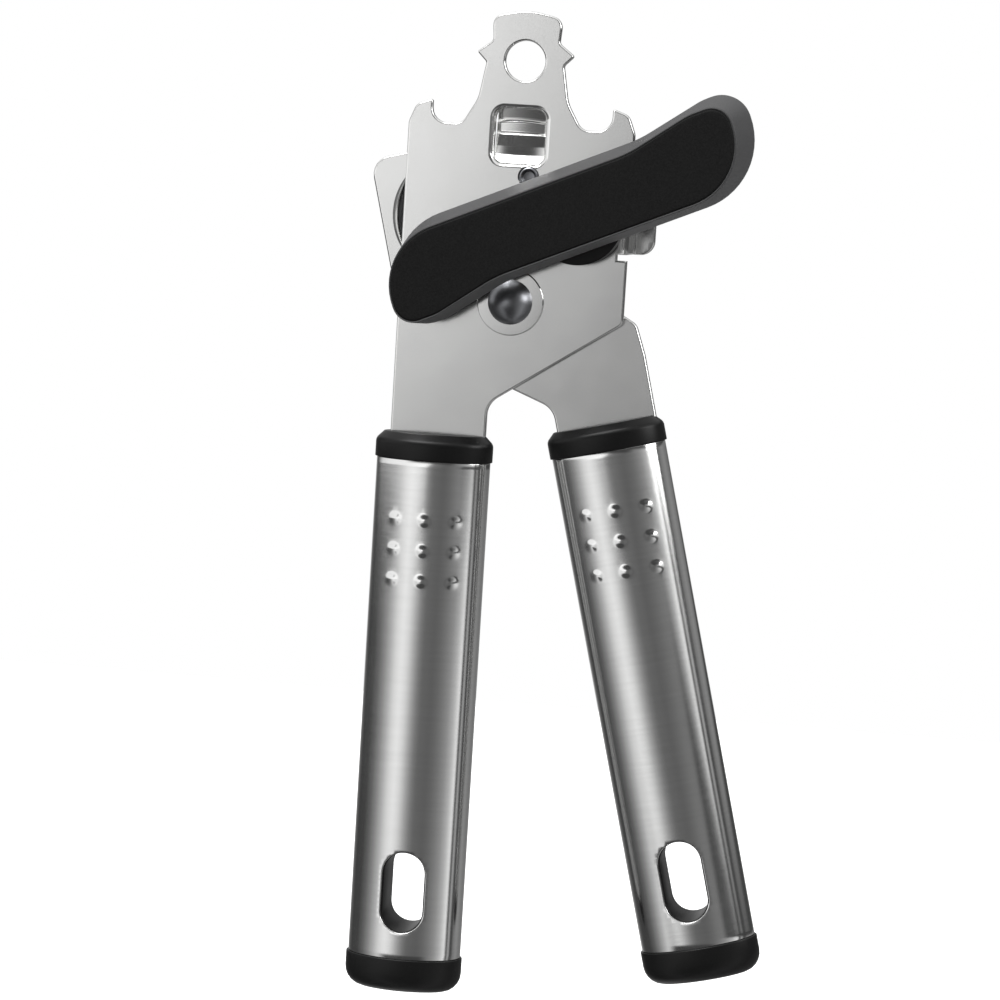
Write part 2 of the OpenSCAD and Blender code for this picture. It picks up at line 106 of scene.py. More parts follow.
def swing(points, angle):
    """Points in (x, y, z) turned about the pivot's axis."""
    c, s = math.cos(angle), math.sin(angle)
    rel = np.asarray(points, float) - [PIVOT[0], 0, PIVOT[2]]
    turned = np.stack([rel[:, 0] * c + rel[:, 2] * s, rel[:, 1], rel[:, 2] * c - rel[:, 0] * s], 1)
    return turned + [PIVOT[0], 0, PIVOT[2]]


def swing_flat(points, angle):
    """The same turn for points in (x, z)."""
    points = np.asarray(points, float)
    full = np.stack([points[:, 0], points[:, 0] * 0, points[:, 1]], 1)
    return swing(full, angle)[:, [0, 2]]


# %% [markdown]
# ## Making a mesh
# Every piece is collected as rows of points and faces, then welded, so that its seams close, and
# its normals are worked out again. A closed shell that faces outwards has a positive volume, and
# the print at the end of each piece shows that volume.

# %% Mesh collector
WELD = 0.002
CREASE = math.radians(32)


def rows_of_faces(count, length, closed, start=0):
    """Quads between rows of the same length."""
    faces = []
    for row in range(count - 1):
        for i in range(length if closed else length - 1):
            j = (i + 1) % length
            a, b = start + row * length, start + (row + 1) * length
            faces.append((a + i, a + j, b + j, b + i))
    return faces


class Shell:
    """Points and faces of one piece, in millimetres."""

    def __init__(self):
        self.points = []
        self.faces = []

    def rows(self, rows, closed=True):
        self.faces += rows_of_faces(len(rows), len(rows[0]), closed, len(self.points))
        for row in rows:
            self.points += [tuple(p) for p in row]
        return self

    def patch(self, points, triangles):
        start = len(self.points)
        self.points += [tuple(p) for p in points]
        self.faces += [tuple(start + int(i) for i in face) for face in triangles]
        return self

    def cap(self, ring):
        return self.patch(ring, [range(len(ring))])

    def make(self, name, crease=CREASE, weld=WELD):
        """Welded object of all the rows and patches, with its faces pointing outwards."""
        mesh = bpy.data.meshes.new(name)
        mesh.from_pydata([Vector(p) * MM for p in self.points], [], self.faces)
        work = bmesh.new()
        work.from_mesh(mesh)
        bmesh.ops.remove_doubles(work, verts=work.verts, dist=weld * MM)
        bmesh.ops.recalc_face_normals(work, faces=work.faces)
        volume = work.calc_volume(signed=True) / MM**3
        open_edges = sum(1 for e in work.edges if not e.is_manifold)
        work.to_mesh(mesh)
        work.free()
        mesh.shade_smooth()
        mesh.set_sharp_from_angle(angle=crease)
        piece = bpy.data.objects.new(name, mesh)
        bpy.context.scene.collection.objects.link(piece)
        print(f"{name}: {len(mesh.polygons)} faces, {volume:.0f} mm3, open edges {open_edges}")
        return piece


print("seams weld within", WELD, "mm")


# %% Flat normals, finish and body
FACE_WEIGHT = 100
LEVEL_GAP = 0.001


def weigh_normals(piece, *levels):
    """Keeps large faces flat beside their rounded edges, and exactly flat at the given depths."""
    weighted = piece.modifiers.new("flat_faces", "WEIGHTED_NORMAL")
    weighted.keep_sharp = True
    weighted.weight = FACE_WEIGHT
    ready = piece.evaluated_get(bpy.context.evaluated_depsgraph_get())
    mesh = bpy.data.meshes.new_from_object(ready)
    piece.modifiers.clear()
    piece.data = mesh
    mesh.name = piece.name
    points = np.empty(len(mesh.vertices) * 3)
    mesh.vertices.foreach_get("co", points)
    depth = points[1::3] / MM
    owners = np.empty(len(mesh.loops), int)
    mesh.loops.foreach_get("vertex_index", owners)
    normals = np.array([tuple(c.vector) for c in mesh.corner_normals])
    for level, way in levels:
        normals[np.abs(depth[owners] - level) < LEVEL_GAP] = (0, way, 0)
    mesh.normals_split_custom_set(normals)
    return piece


def place(piece, body, slot, finish, *nodes):
    """Gives a piece its finish and body, and lets it stand for its CAD nodes. The slot is not used."""
    piece.data.materials.clear()
    piece.data.materials.append(finish)
    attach(piece, body)
    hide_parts(*nodes)
    return piece


# %% [markdown]
# ## Shading kit
# A material is a graph, and its sums are easier to read as sums. `Value` wraps one output socket:
# an expression on values adds Math nodes. `Finish.add` makes any other node from its type, its
# settings and the values or links of its sockets.

# %% A socket with arithmetic
class Value:
    """One output socket, with arithmetic."""

    def __init__(self, finish, socket):
        self.finish = finish
        self.socket = socket

    def math(self, operation, *others):
        sockets = dict(enumerate((self, *others)))
        return self.finish.add("ShaderNodeMath", sockets, operation=operation)

    def __add__(self, other):
        return self.math("ADD", other)

    __radd__ = __add__

    def __sub__(self, other):
        return self.math("SUBTRACT", other)

    def __rsub__(self, other):
        return self.finish.add("ShaderNodeMath", {0: other, 1: self}, operation="SUBTRACT")

    def __mul__(self, other):
        return self.math("MULTIPLY", other)

    __rmul__ = __mul__

    def clamped(self, low, high):
        """0 at the low value and 1 at the high one, and held at those beyond them."""
        sockets = {"Value": self, "From Min": low, "From Max": high}
        return self.finish.add("ShaderNodeMapRange", sockets, clamp=True)


# %% A material in the making
class Finish:
    """A material in the making."""

    def __init__(self, name, **constants):
        self.material = bpy.data.materials.new(name)
        self.material.use_nodes = True
        self.tree = self.material.node_tree
        self.shader = self.tree.nodes["Principled BSDF"]
        for socket, value in constants.items():
            self.shader.inputs[socket.replace("_", " ")].default_value = value

    def add(self, kind, sockets=(), output=0, **settings):
        """Any node: its settings first, then the values or links of its sockets."""
        node = self.tree.nodes.new(kind)
        stops = settings.pop("stops", None)
        for key, value in settings.items():
            setattr(node, key, value)
        if stops:
            ramp = node.color_ramp
            while len(ramp.elements) < len(stops):
                ramp.elements.new(1)
            for element, (position, colour) in zip(ramp.elements, stops):
                element.position = position
                element.color = (*colour, 1)
        for key, value in dict(sockets).items():
            self.feed(node.inputs[key], value)
        return Value(self, node.outputs[output])

    def feed(self, socket, value):
        if isinstance(value, Value):
            self.tree.links.new(value.socket, socket)
        else:
            socket.default_value = value

    def set(self, **sockets):
        for key, value in sockets.items():
            self.feed(self.shader.inputs[key.replace("_", " ")], value)
        return self.material

    def place(self, scale=(1, 1, 1), turn=0.0, centre=(0, 0, 0)):
        """Object coordinates in millimetres, about a centre, turned about Y and then scaled."""
        point = self.add("ShaderNodeTexCoord", output="Object")
        sockets = {"Vector": point, "Location": tuple(-c * MM for c in centre)}
        moved = self.add("ShaderNodeMapping", sockets)
        sockets = {"Vector": moved, "Rotation": (0, turn, 0), "Scale": (1 / MM, 1 / MM, 1 / MM)}
        turned = self.add("ShaderNodeMapping", sockets)
        return self.add("ShaderNodeMapping", {"Vector": turned, "Scale": scale})

    def noise(self, at, scale, detail=2.0, rough=0.5):
        sockets = {"Vector": at, "Scale": scale, "Detail": detail, "Roughness": rough}
        return self.add("ShaderNodeTexNoise", sockets)

    def bump(self, height, depth, under=None):
        """Normal for a height between 0 and 1 that stands for a depth in millimetres."""
        sockets = {"Height": height, "Distance": depth * MM}
        if under is not None:
            sockets["Normal"] = under
        return self.add("ShaderNodeBump", sockets)

    def mix(self, share, low, high):
        """A colour between two colours, each (r, g, b) or a value."""
        low, high = (c if isinstance(c, Value) else (*c, 1) for c in (low, high))
        return self.add("ShaderNodeMix", {0: share, 6: low, 7: high}, output=2, data_type="RGBA")


print("shading kit ready")

# %% [markdown]
# ## Pressed steel
# The levers are blanked from bright sheet and tumbled until their edges are smooth. That leaves a
# satin face with very fine, directionless marks, and a slow unevenness left by the press. The
# marks go into the normal and the roughness, because bare steel has one colour.

# %% Finish of the levers
STEEL = (0.80, 0.80, 0.79)
STEEL_DIM = (0.76, 0.76, 0.755)


def tumbled_steel(name, roughness, colour, dim):
    finish = Finish(name, Metallic=1.0)
    at = finish.place()
    fine = finish.noise(at, 5.0, detail=4.0, rough=0.65)
    cloud = finish.noise(at, 0.12, detail=3.0)
    slow = finish.noise(at, 0.05, detail=1.0)
    grain = finish.bump(fine, 0.003)
    normal = finish.bump(slow, 0.03, under=grain)
    return finish.set(
        Base_Color=finish.mix(cloud.clamped(0.2, 0.8), dim, colour),
        Roughness=roughness + (fine - 0.5) * 0.10 + (cloud - 0.5) * 0.06,
        Normal=normal,
    )


pressed_steel = tumbled_steel("lever_steel", 0.16, STEEL, STEEL_DIM)
polished_steel = tumbled_steel("polished_steel", 0.10, STEEL, STEEL_DIM)
dark_steel = tumbled_steel("rivet_steel", 0.34, (0.30, 0.305, 0.32), (0.25, 0.255, 0.27))
print("steels:", pressed_steel.name, polished_steel.name, dark_steel.name)

# %% [markdown]
# ## Brushed sleeves
# The sleeves are rolled from thin stainless sheet that was brushed round the grip, so each has
# fine lines across it. A noise that is stretched across the handle gives the lines, and a second,
# coarser one groups them. Each handle needs its own version, turned to its axis.

# %% Finish of the sleeves
def brushed_steel(name, turn):
    finish = Finish(name, Metallic=1.0)
    across = finish.place(scale=(0.05, 0.05, 1.0), turn=turn)
    plain = finish.place()
    hair = finish.noise(across, 9.0, detail=3.0, rough=0.7)
    group = finish.noise(across, 1.6, detail=2.0)
    cloud = finish.noise(plain, 0.09, detail=2.0)
    lines = finish.bump(hair, 0.0018)
    normal = finish.bump(group, 0.0012, under=lines)
    return finish.set(
        Base_Color=finish.mix(group.clamped(0.2, 0.8), (0.74, 0.74, 0.735), (0.79, 0.79, 0.785)),
        Roughness=0.13 + (hair - 0.5) * 0.12 + (cloud - 0.5) * 0.05,
        Normal=normal,
    )


brushed_left = brushed_steel("brushed_sleeve_left", 0.0)
brushed_right = brushed_steel("brushed_sleeve_right", OPEN)
print("sleeves:", brushed_left.name, brushed_right.name)

# %% [markdown]
# ## Ground steel
# The cutter wheel and the feed wheel are turned and ground about their own axes, so their marks
# are rings. The distance from the axis drives a one-dimensional noise.

# %% Finish of the turned steel
def ground_steel(name, centre, colour, dim, roughness):
    finish = Finish(name, Metallic=1.0)
    at = finish.place(scale=(1, 0, 1), centre=centre)
    radius = finish.add("ShaderNodeVectorMath", {0: at}, output="Value", operation="LENGTH")
    sockets = {"W": radius, "Scale": 7.0, "Detail": 3.0}
    rings = finish.add("ShaderNodeTexNoise", sockets, noise_dimensions="1D")
    wear = finish.noise(finish.place(), 0.35, detail=3.0)
    return finish.set(
        Base_Color=finish.mix(wear.clamped(0.3, 0.7), dim, colour),
        Roughness=roughness + (rings - 0.5) * 0.14,
        Normal=finish.bump(rings, 0.006),
    )


cutter_steel = ground_steel("wheel_steel", CUTTER, STEEL, STEEL_DIM, 0.18)
feed_steel = ground_steel("feed_steel", SHAFT, (0.56, 0.56, 0.57), (0.46, 0.46, 0.47), 0.27)
brass = ground_steel("bush_brass", SHAFT, (0.78, 0.62, 0.34), (0.66, 0.50, 0.26), 0.22)
print("ground:", cutter_steel.name, feed_steel.name, brass.name)

# %% [markdown]
# ## Plastics
# The handle ends and the key are moulded in black. A moulded face isn't a mirror: spark erosion
# in the mould leaves a fine, even grain. The key's sides are smoother than the soft pad on its
# front, which is matt and grainier.

# %% Finish of the plastics
def moulded(name, colour, pale, roughness, grain, depth, shine):
    finish = Finish(name, Metallic=0.0, IOR=1.5, Specular_IOR_Level=shine)
    at = finish.place()
    pits = finish.noise(at, grain, detail=3.0, rough=0.6)
    cloud = finish.noise(at, 0.15, detail=2.0)
    return finish.set(
        Base_Color=finish.mix(pits.clamped(0.3, 0.75), colour, pale),
        Roughness=roughness + (pits - 0.5) * 0.14 + (cloud - 0.5) * 0.08,
        Normal=finish.bump(pits, depth),
    )


black_plastic = moulded(
    "handle_plastic", (0.004, 0.004, 0.004), (0.009, 0.009, 0.009),
    roughness=0.34, grain=6.0, depth=0.006, shine=0.22,
)
key_plastic = moulded(
    "key_shell_plastic", (0.065, 0.065, 0.066), (0.09, 0.09, 0.092),
    roughness=0.52, grain=6.0, depth=0.008, shine=0.15,
)
soft_pad = moulded(
    "pad_rubber", (0.003, 0.003, 0.003), (0.012, 0.012, 0.012),
    roughness=0.62, grain=4.2, depth=0.022, shine=0.16,
)
print("plastics:", black_plastic.name, key_plastic.name, soft_pad.name)

# %% [markdown]
# ## Outlines
# A flat part starts as closed outlines in (x, z), with the sheet on the left of each line: the
# outer one runs anticlockwise and a hole runs clockwise. The CAD node's front face gives them.
# Small helpers round its corners, draw it into the sheet by an amount, and split long edges.


# %% Rounded corners
def corner(before, at, after, radius, steps):
    """Arc that rounds one corner."""
    before, at, after = (np.array(p, float) for p in (before, at, after))
    if radius == 0:
        return [at]
    u = (before - at) / np.linalg.norm(before - at)
    w = (after - at) / np.linalg.norm(after - at)
    half = math.acos(float(np.clip(u @ w, -1, 1))) / 2
    centre = at + (u + w) / np.linalg.norm(u + w) * radius / math.sin(half)
    start = at + u * radius / math.tan(half) - centre
    turn = (2 * half - math.pi) * np.sign(u[0] * w[1] - u[1] * w[0])
    arc = []
    for i in range(steps + 1):
        c, s = math.cos(turn * i / steps), math.sin(turn * i / steps)
        arc.append(centre + [start[0] * c - start[1] * s, start[0] * s + start[1] * c])
    return arc


def rounded(corners, steps=12):
    """Closed outline through corners given as (x, z, radius)."""
    n = len(corners)
    points = []
    for i, (x, z, radius) in enumerate(corners):
        before, after = corners[i - 1][:2], corners[(i + 1) % n][:2]
        points += corner(before, (x, z), after, radius, steps)
    return np.array(points)


def profile_of(corners, steps=6):
    """Open profile with rounded inner corners, given as (across, up, radius)."""
    points = [np.array(corners[0][:2], float)]
    for before, at, after in zip(corners, corners[1:], corners[2:]):
        points += corner(before[:2], at[:2], after[:2], at[2], steps)
    return points + [np.array(corners[-1][:2], float)]


print("a corner of radius 1 has", len(corner((1, 0), (0, 0), (0, 1), 1, 12)), "points")

# %% Inset, split and circle
MITRE_LIMIT = 0.3


def inset(loop, distance):
    """Closed outline drawn into its sheet by a distance."""
    edge = np.roll(loop, -1, 0) - loop
    edge = edge / np.linalg.norm(edge, axis=1)[:, None]
    left = np.stack([-edge[:, 1], edge[:, 0]], 1)
    before = np.roll(left, 1, 0)
    cosine = (left * before).sum(1)
    return loop + distance * (left + before) / np.maximum(1 + cosine, MITRE_LIMIT)[:, None]


def split_edges(loop, longest):
    """Closed outline with no edge longer than the given length."""
    points = []
    for a, b in zip(loop, np.roll(loop, -1, 0)):
        count = max(1, math.ceil(np.linalg.norm(b - a) / longest))
        points += [a + (b - a) * i / count for i in range(count)]
    return np.array(points)


def circle(centre, radius, count=64, hole=True):
    angles = np.linspace(0, 2 * math.pi, count, endpoint=False) * (-1 if hole else 1)
    return np.stack([centre[0] + radius * np.cos(angles), centre[1] + radius * np.sin(angles)], 1)


def between(low, high, count):
    """The inner ends of equal steps from low to high."""
    return np.linspace(low, high, count + 1)[1:-1]


print("a circle of radius 2, split:", len(split_edges(circle((0, 0), 2), 0.1)), "points")

# %% Outlines of a CAD node's face
FORWARDS = -0.99
SAME_DEPTH = 0.02
STRAIGHT = 0.0005
TINY = 1e-6


def straightened(loop):
    """Closed outline without the points that lie on a straight line."""
    a, b = loop - np.roll(loop, 1, 0), np.roll(loop, -1, 0) - loop
    cross = np.abs(a[:, 0] * b[:, 1] - a[:, 1] * b[:, 0])
    limit = STRAIGHT * np.linalg.norm(a, axis=1) * np.linalg.norm(b, axis=1) + TINY
    return loop[cross > limit]


def face_outlines(node, depth):
    """Outlines of a CAD node's face that looks forwards at a depth, longest first."""
    mesh = frame["nodes"][node].data
    edges = set()
    for face in mesh.polygons:
        corners = [mesh.vertices[i].co / MM for i in face.vertices]
        if face.normal.y > FORWARDS or any(abs(c.y - depth) > SAME_DEPTH for c in corners):
            continue
        keys = [(round(c.x, 3), round(c.z, 3)) for c in corners]
        edges |= {(keys[i], keys[(i + 1) % len(keys)]) for i in range(len(keys))}
    following = {a: b for a, b in edges if (b, a) not in edges}
    loops = []
    while following:
        at, loop = next(iter(sorted(following))), []
        while at in following:
            loop.append(at)
            at = following.pop(at)
        loops.append(straightened(np.array(loop)))
    return sorted(loops, key=lambda l: -np.ptp(l, 0).sum())


front_loops = face_outlines("front_lever", box("pivot_front_washer")[1][1])
print("front lever:", [len(loop) for loop in front_loops])

# %% [markdown]
# ## Filling an outline
# A flat face is filled with triangles between its outlines, with extra points where the sheet will
# bend. Blender's Delaunay triangulation does that. It fills holes too, so the outlines are taken
# as walls that part the face into areas, and an area is left out if it lies outside the sheet.


# %% Points inside and clear of outlines
def inside(points, loops):
    """Whether each point lies in the area between the outlines."""
    odd = np.zeros(len(points), bool)
    for loop in loops:
        for (x0, z0), (x1, z1) in zip(loop, np.roll(loop, -1, 0)):
            crosses = (z0 > points[:, 1]) != (z1 > points[:, 1])
            if crosses.any():
                where = x0 + (points[:, 1] - z0) * (x1 - x0) / (z1 - z0 if z1 != z0 else 1)
                odd ^= crosses & (points[:, 0] < where)
    return odd


def clear_of(points, loops, gap):
    """The points that keep a gap from every outline."""
    keep = np.ones(len(points), bool)
    for loop in loops:
        for at in split_edges(loop, gap):
            keep &= ((points - at) ** 2).sum(1) > gap * gap
    return points[keep]


print("front lever's face covers the rivet:", inside(PIVOT[None, [0, 2]], front_loops))

# %% Fill
SLIVER = 0.001
CDT_MERGE = 1e-6


def areas_between(triangles, walls):
    """For each triangle, the number of the area it lies in. The walls part the areas."""
    beside = {}
    for number, (a, b, c) in enumerate(triangles.tolist()):
        for side in (frozenset((a, b)), frozenset((b, c)), frozenset((c, a))):
            if side not in walls:
                beside.setdefault(side, []).append(number)
    area = list(range(len(triangles)))

    def first(number):
        while area[number] != number:
            area[number] = area[area[number]]
            number = area[number]
        return number

    for pair in beside.values():
        area[first(pair[0])] = first(pair[-1])
    return np.array([first(number) for number in range(len(triangles))])


def fill(loops, extra=(), gap=0.12):
    """Points and triangles between closed outlines. An area is kept if its largest triangle is inside."""
    extra = np.array(extra, float).reshape(-1, 2)
    if len(extra):
        extra = clear_of(extra, loops, gap)
    points = np.concatenate([*loops, extra])
    edges, start = [], 0
    for loop in loops:
        n = len(loop)
        edges += [(start + i, start + (i + 1) % n) for i in range(n)]
        start += n
    out = delaunay_2d_cdt([Vector(p) for p in points], edges, [], 0, CDT_MERGE)
    points = np.array([tuple(p) for p in out[0]])
    triangles = np.array([tuple(t) for t in out[2] if len(t) == 3])
    walls = {frozenset(edge) for edge, source in zip(out[1], out[4]) if source}
    area = areas_between(triangles, walls)
    u, w = (points[triangles[:, i]] - points[triangles[:, 0]] for i in (1, 2))
    doubled = np.abs(u[:, 0] * w[:, 1] - u[:, 1] * w[:, 0])
    order = np.argsort(doubled)
    largest = dict(zip(area[order].tolist(), order.tolist()))
    largest = {number: triangle for number, triangle in largest.items() if doubled[triangle] > SLIVER}
    middles = points[triangles[list(largest.values())]].mean(1)
    kept_areas = [number for number, keep in zip(largest, inside(middles, loops)) if keep]
    return points, triangles[np.isin(area, kept_areas)]


print("a small disc fills with", len(fill([circle((0, 0), 2, hole=False)])[1]), "triangles")


# %% Sheet with rounded edges
def rolled_edge(edge, thickness, steps=4):
    """(distance into the sheet, depth) of each row round a rounded edge, from front to back."""
    angles = np.linspace(0, math.pi / 2, steps + 1)
    front = [(edge * (1 - math.sin(a)), edge * (1 - math.cos(a))) for a in angles]
    return front + [(o, thickness - d) for o, d in reversed(front)]


def sheet(shell, loops, thickness, shape, extra=()):
    """Sheet from (outline, edge radius) pairs. shape(points, depth) bends (x, z) points into place."""
    points, triangles = fill([inset(loop, edge) for loop, edge in loops], extra)
    shell.patch(shape(points, 0.0), triangles)
    shell.patch(shape(points, thickness), triangles)
    for loop, edge in loops:
        shell.rows([shape(inset(loop, o), d) for o, d in rolled_edge(edge, thickness)])
    return shell


print("rows round a sheet's edge:", len(rolled_edge(0.4, 2)))

# %% [markdown]
# ## Front lever
# The head, the hooks that lift a cap, the window and the can guide are all one pressing, bent from
# one flat blank. So it is made that way: the guide's flap is unrolled beside the plate, the blank
# is filled once, and a fold turns the flap back and then outwards. The window's rim is drawn in.

# %% Front lever's blank
FRONT_Y = box("pivot_front_washer")[1][1]
BACK_Y = box("pivot_spacer")[0][1]
SHEET = BACK_Y - FRONT_Y
EDGE = 0.42
HIDDEN_EDGE = 0.1
SHEET_WELD = 0.03
BEND_IN = 0.3
BEND_MID = BEND_IN + SHEET / 2
FOOT_END = box("front_lever")[1][0]
GUIDE_BACK = box("front_lever")[1][1]
FOOT_ROUND = 3
GUIDE_UP = 10.7
GUIDE_HEIGHT = 15.7
ON_SIDE = 0.05

outer = front_loops[0]
SHOULDER = -outer[:, 0].min()
guide_side = outer[(outer[:, 0] > SHOULDER - ON_SIDE) & (outer[:, 1] > PIVOT[2])]
GUIDE_LOW = min(z for x, z in guide_side if z > PIVOT[2] + GUIDE_UP)
GUIDE_TOP = GUIDE_LOW + GUIDE_HEIGHT
bend_x = SHOULDER - SHEET - BEND_IN
bend_y = FRONT_Y + SHEET + BEND_IN
bend_s = bend_x + BEND_MID * math.pi / 2
foot_y = GUIDE_BACK - SHEET - BEND_IN
foot_s = bend_s + foot_y - bend_y
flat_s = foot_s + BEND_MID * math.pi / 2
flap_end = flat_s + FOOT_END - (SHOULDER + BEND_IN)
print("guide from", round(GUIDE_LOW, 2), "to", round(GUIDE_TOP, 2), "flap end", round(flap_end, 2))


def fold_guide(flat, depth):
    """Places blank points: the flap turns back round one bend and outwards round another."""
    on_flap = (flat[:, 1] > GUIDE_LOW - 0.01) & (flat[:, 1] < GUIDE_TOP + 0.01)
    s, z = np.where(on_flap, flat[:, 0], np.minimum(flat[:, 0], bend_x)), flat[:, 1]
    y = np.full(len(s), float(depth)) - SHEET / 2
    first = np.clip((s - bend_x) / BEND_MID, 0, math.pi / 2)
    second = np.clip((s - foot_s) / BEND_MID, 0, math.pi / 2)
    x_out = np.where(s < bend_x, s, bend_x + (BEND_MID - y) * np.sin(first))
    y_out = np.where(s < bend_x, FRONT_Y + SHEET / 2 + y, bend_y - (BEND_MID - y) * np.cos(first))
    y_out = y_out + np.clip(s - bend_s, 0, foot_s - bend_s)
    on_foot = s > foot_s
    axis_x = SHOULDER + BEND_IN
    x_out = np.where(on_foot, axis_x - (BEND_MID + y) * np.cos(second), x_out)
    y_out = np.where(on_foot, foot_y + (BEND_MID + y) * np.sin(second), y_out)
    x_out = x_out + np.maximum(s - flat_s, 0) + np.where(on_flap, 0, flat[:, 0] - s)
    return np.stack([x_out, y_out, z], 1)


# %% Front lever's outline
EDGE_STEP = 0.7


def near_edge(point):
    return point[0] > SHOULDER - ON_SIDE and GUIDE_LOW - 0.1 < point[1] < GUIDE_TOP + 0.1


flap_corners = [
    (bend_x, GUIDE_LOW, 0), (flap_end, GUIDE_LOW, FOOT_ROUND),
    (flap_end, GUIDE_TOP, FOOT_ROUND), (bend_x, GUIDE_TOP, 0),
]
flap = rounded(flap_corners)[1:-1]
kept = [not near_edge(p) for p in outer]
first_cut = kept.index(False)
blank = [p for p, k in zip(outer[:first_cut], kept[:first_cut]) if k]
blank += list(flap)
blank += [p for p, k in zip(outer[first_cut:], kept[first_cut:]) if k]
blank = split_edges(np.array(blank), EDGE_STEP)
print("blank of", len(blank), "points")

# %% Window's rim and the flap's bends
WINDOW_UP = 34
WINDOW_ROUND = 2
WINDOW_STEP = 0.5
RIM_WIDTH = 1.1
RIM_DEPTH = 0.7
window = min(front_loops[1:], key=lambda l: np.linalg.norm(l.mean(0) - [0, PIVOT[2] + WINDOW_UP]))
window_low, window_high = window.min(0), window.max(0)
window_edge = split_edges(window, WINDOW_STEP)
window_rings = [inset(window_edge, EDGE + RIM_WIDTH * i / 5) for i in range(1, 7)]


def window_gap(flat):
    """Distance of each blank point from the window, taken as a rounded rectangle."""
    centre, half = (window_low + window_high) / 2, (window_high - window_low) / 2 - WINDOW_ROUND
    reach = np.abs(flat - centre) - half
    return np.linalg.norm(np.maximum(reach, 0), axis=1) - WINDOW_ROUND


def shape_front(flat, depth):
    gap = window_gap(flat)
    drawn = RIM_DEPTH * np.clip(1 - gap / RIM_WIDTH, 0, 1) ** 2
    placed = fold_guide(flat, depth)
    placed[:, 1] += drawn
    return placed


bend_columns = np.concatenate([
    np.linspace(bend_x, bend_s, 9), np.linspace(foot_s, flat_s, 9),
    [(bend_s + foot_s) / 2, flap_end - 1.5],
])
bend_rows = np.arange(GUIDE_LOW + 0.5, GUIDE_TOP, EDGE_STEP)
bend_points = [(s, z) for s in bend_columns for z in bend_rows]
print("window", window_low.round(2), window_high.round(2))

# %% [markdown]
# ## Window tongue
# Behind the window a tongue is pressed back from the same sheet. It leaves the window's lower edge
# as a small ledge, rises as a flat panel to a crease, and leans back towards the plate above it.


# %% Tongue's section
def along(path, s):
    """Points and left normals at distances along an open path."""
    step = np.diff(path, axis=0)
    length = np.linalg.norm(step, axis=1)
    at = np.concatenate([[0], np.cumsum(length)])
    place_on = np.stack([np.interp(s, at, path[:, i]) for i in range(2)], 1)
    tangent = np.stack([np.interp(s, (at[1:] + at[:-1]) / 2, step[:, i] / length) for i in range(2)], 1)
    tangent /= np.linalg.norm(tangent, axis=1)[:, None]
    return place_on, np.stack([-tangent[:, 1], tangent[:, 0]], 1)


TONGUE = 1.1
TONGUE_BULGE = 0.4
TONGUE_ARCH = 0.35
LEDGE_UP = 1.6
CREASE_UP = 6.0
RIDGE_UP = 8.7
TONGUE_BEND = 0.3
near_y = BACK_Y - TONGUE
section_corners = [
    (window_low[1] - 0.4, near_y), (window_low[1] + LEDGE_UP, near_y + 1.2),
    (window_low[1] + CREASE_UP, near_y + 1.85), (window_low[1] + CREASE_UP + 0.35, near_y + 2.2),
    (window_low[1] + RIDGE_UP, near_y + 2.05), (window_low[1] + RIDGE_UP + 0.4, near_y + 2.9),
    (window_high[1] + 1.2, near_y + 2.3),
]
section = np.array(profile_of([(up, y, TONGUE_BEND) for up, y in section_corners], 8))
tongue_length = np.linalg.norm(np.diff(section, axis=0), axis=1).sum()
print("tongue's section is", round(tongue_length, 2), "mm long")

# %% Tongue and front lever
TONGUE_GAP = 0.02
TONGUE_ROUND = 2.2
TONGUE_EDGE = 0.2
tongue_left, tongue_right = window_low[0] + TONGUE_GAP, window_high[0] - TONGUE_GAP


def shape_tongue(flat, depth):
    """The tongue's blank is (x, distance along the section)."""
    on, normal = along(section, flat[:, 1])
    placed = on + normal * depth
    middle_x, half = (tongue_left + tongue_right) / 2, (tongue_right - tongue_left) / 2
    side = ((flat[:, 0] - middle_x) / half) ** 2
    up = placed[:, 0] - window_low[1]
    bulge = TONGUE_BULGE * side * np.clip((up - LEDGE_UP) / 2, 0, 1)
    arch = TONGUE_ARCH * side * np.clip((up - CREASE_UP) / (RIDGE_UP - CREASE_UP), 0, 1)
    return np.stack([flat[:, 0], placed[:, 1] + bulge, placed[:, 0] - arch], 1)


tongue = split_edges(rounded([
    (tongue_left, 0, 0.3), (tongue_right, 0, 0.3),
    (tongue_right, tongue_length, TONGUE_ROUND), (tongue_left, tongue_length, TONGUE_ROUND),
]), 0.25)
tongue_points = [
    (x, s) for x in np.linspace(tongue_left + 0.8, tongue_right - 0.8, 9)
    for s in np.arange(0.4, tongue_length, 0.22)
]

front_shell = Shell()
holes = [(window_edge, EDGE)]
for loop in front_loops[1:]:
    if loop is not window:
        holes.append((loop, EDGE if loop[0][1] > window_high[1] else HIDDEN_EDGE))
front_extra = np.concatenate([*window_rings, bend_points])
sheet(front_shell, [(blank, EDGE), *holes], SHEET, shape_front, front_extra)
sheet(front_shell, [(tongue, TONGUE_EDGE)], TONGUE, shape_tongue, tongue_points)
front_lever = front_shell.make("front_lever_pressing", weld=SHEET_WELD)
weigh_normals(front_lever, (FRONT_Y, -1), (BACK_Y, 1))
place(front_lever, "front", "pressed_steel", pressed_steel, "front_lever")

# %% [markdown]
# ## Rear lever
# The rear lever carries the cutter wheel in a round dish that is pressed back out of the sheet.
# Its blank is filled with rings of points round the cutter, and the points there are moved back,
# so the plate runs into the dish with soft shoulders, as pressed sheet does.

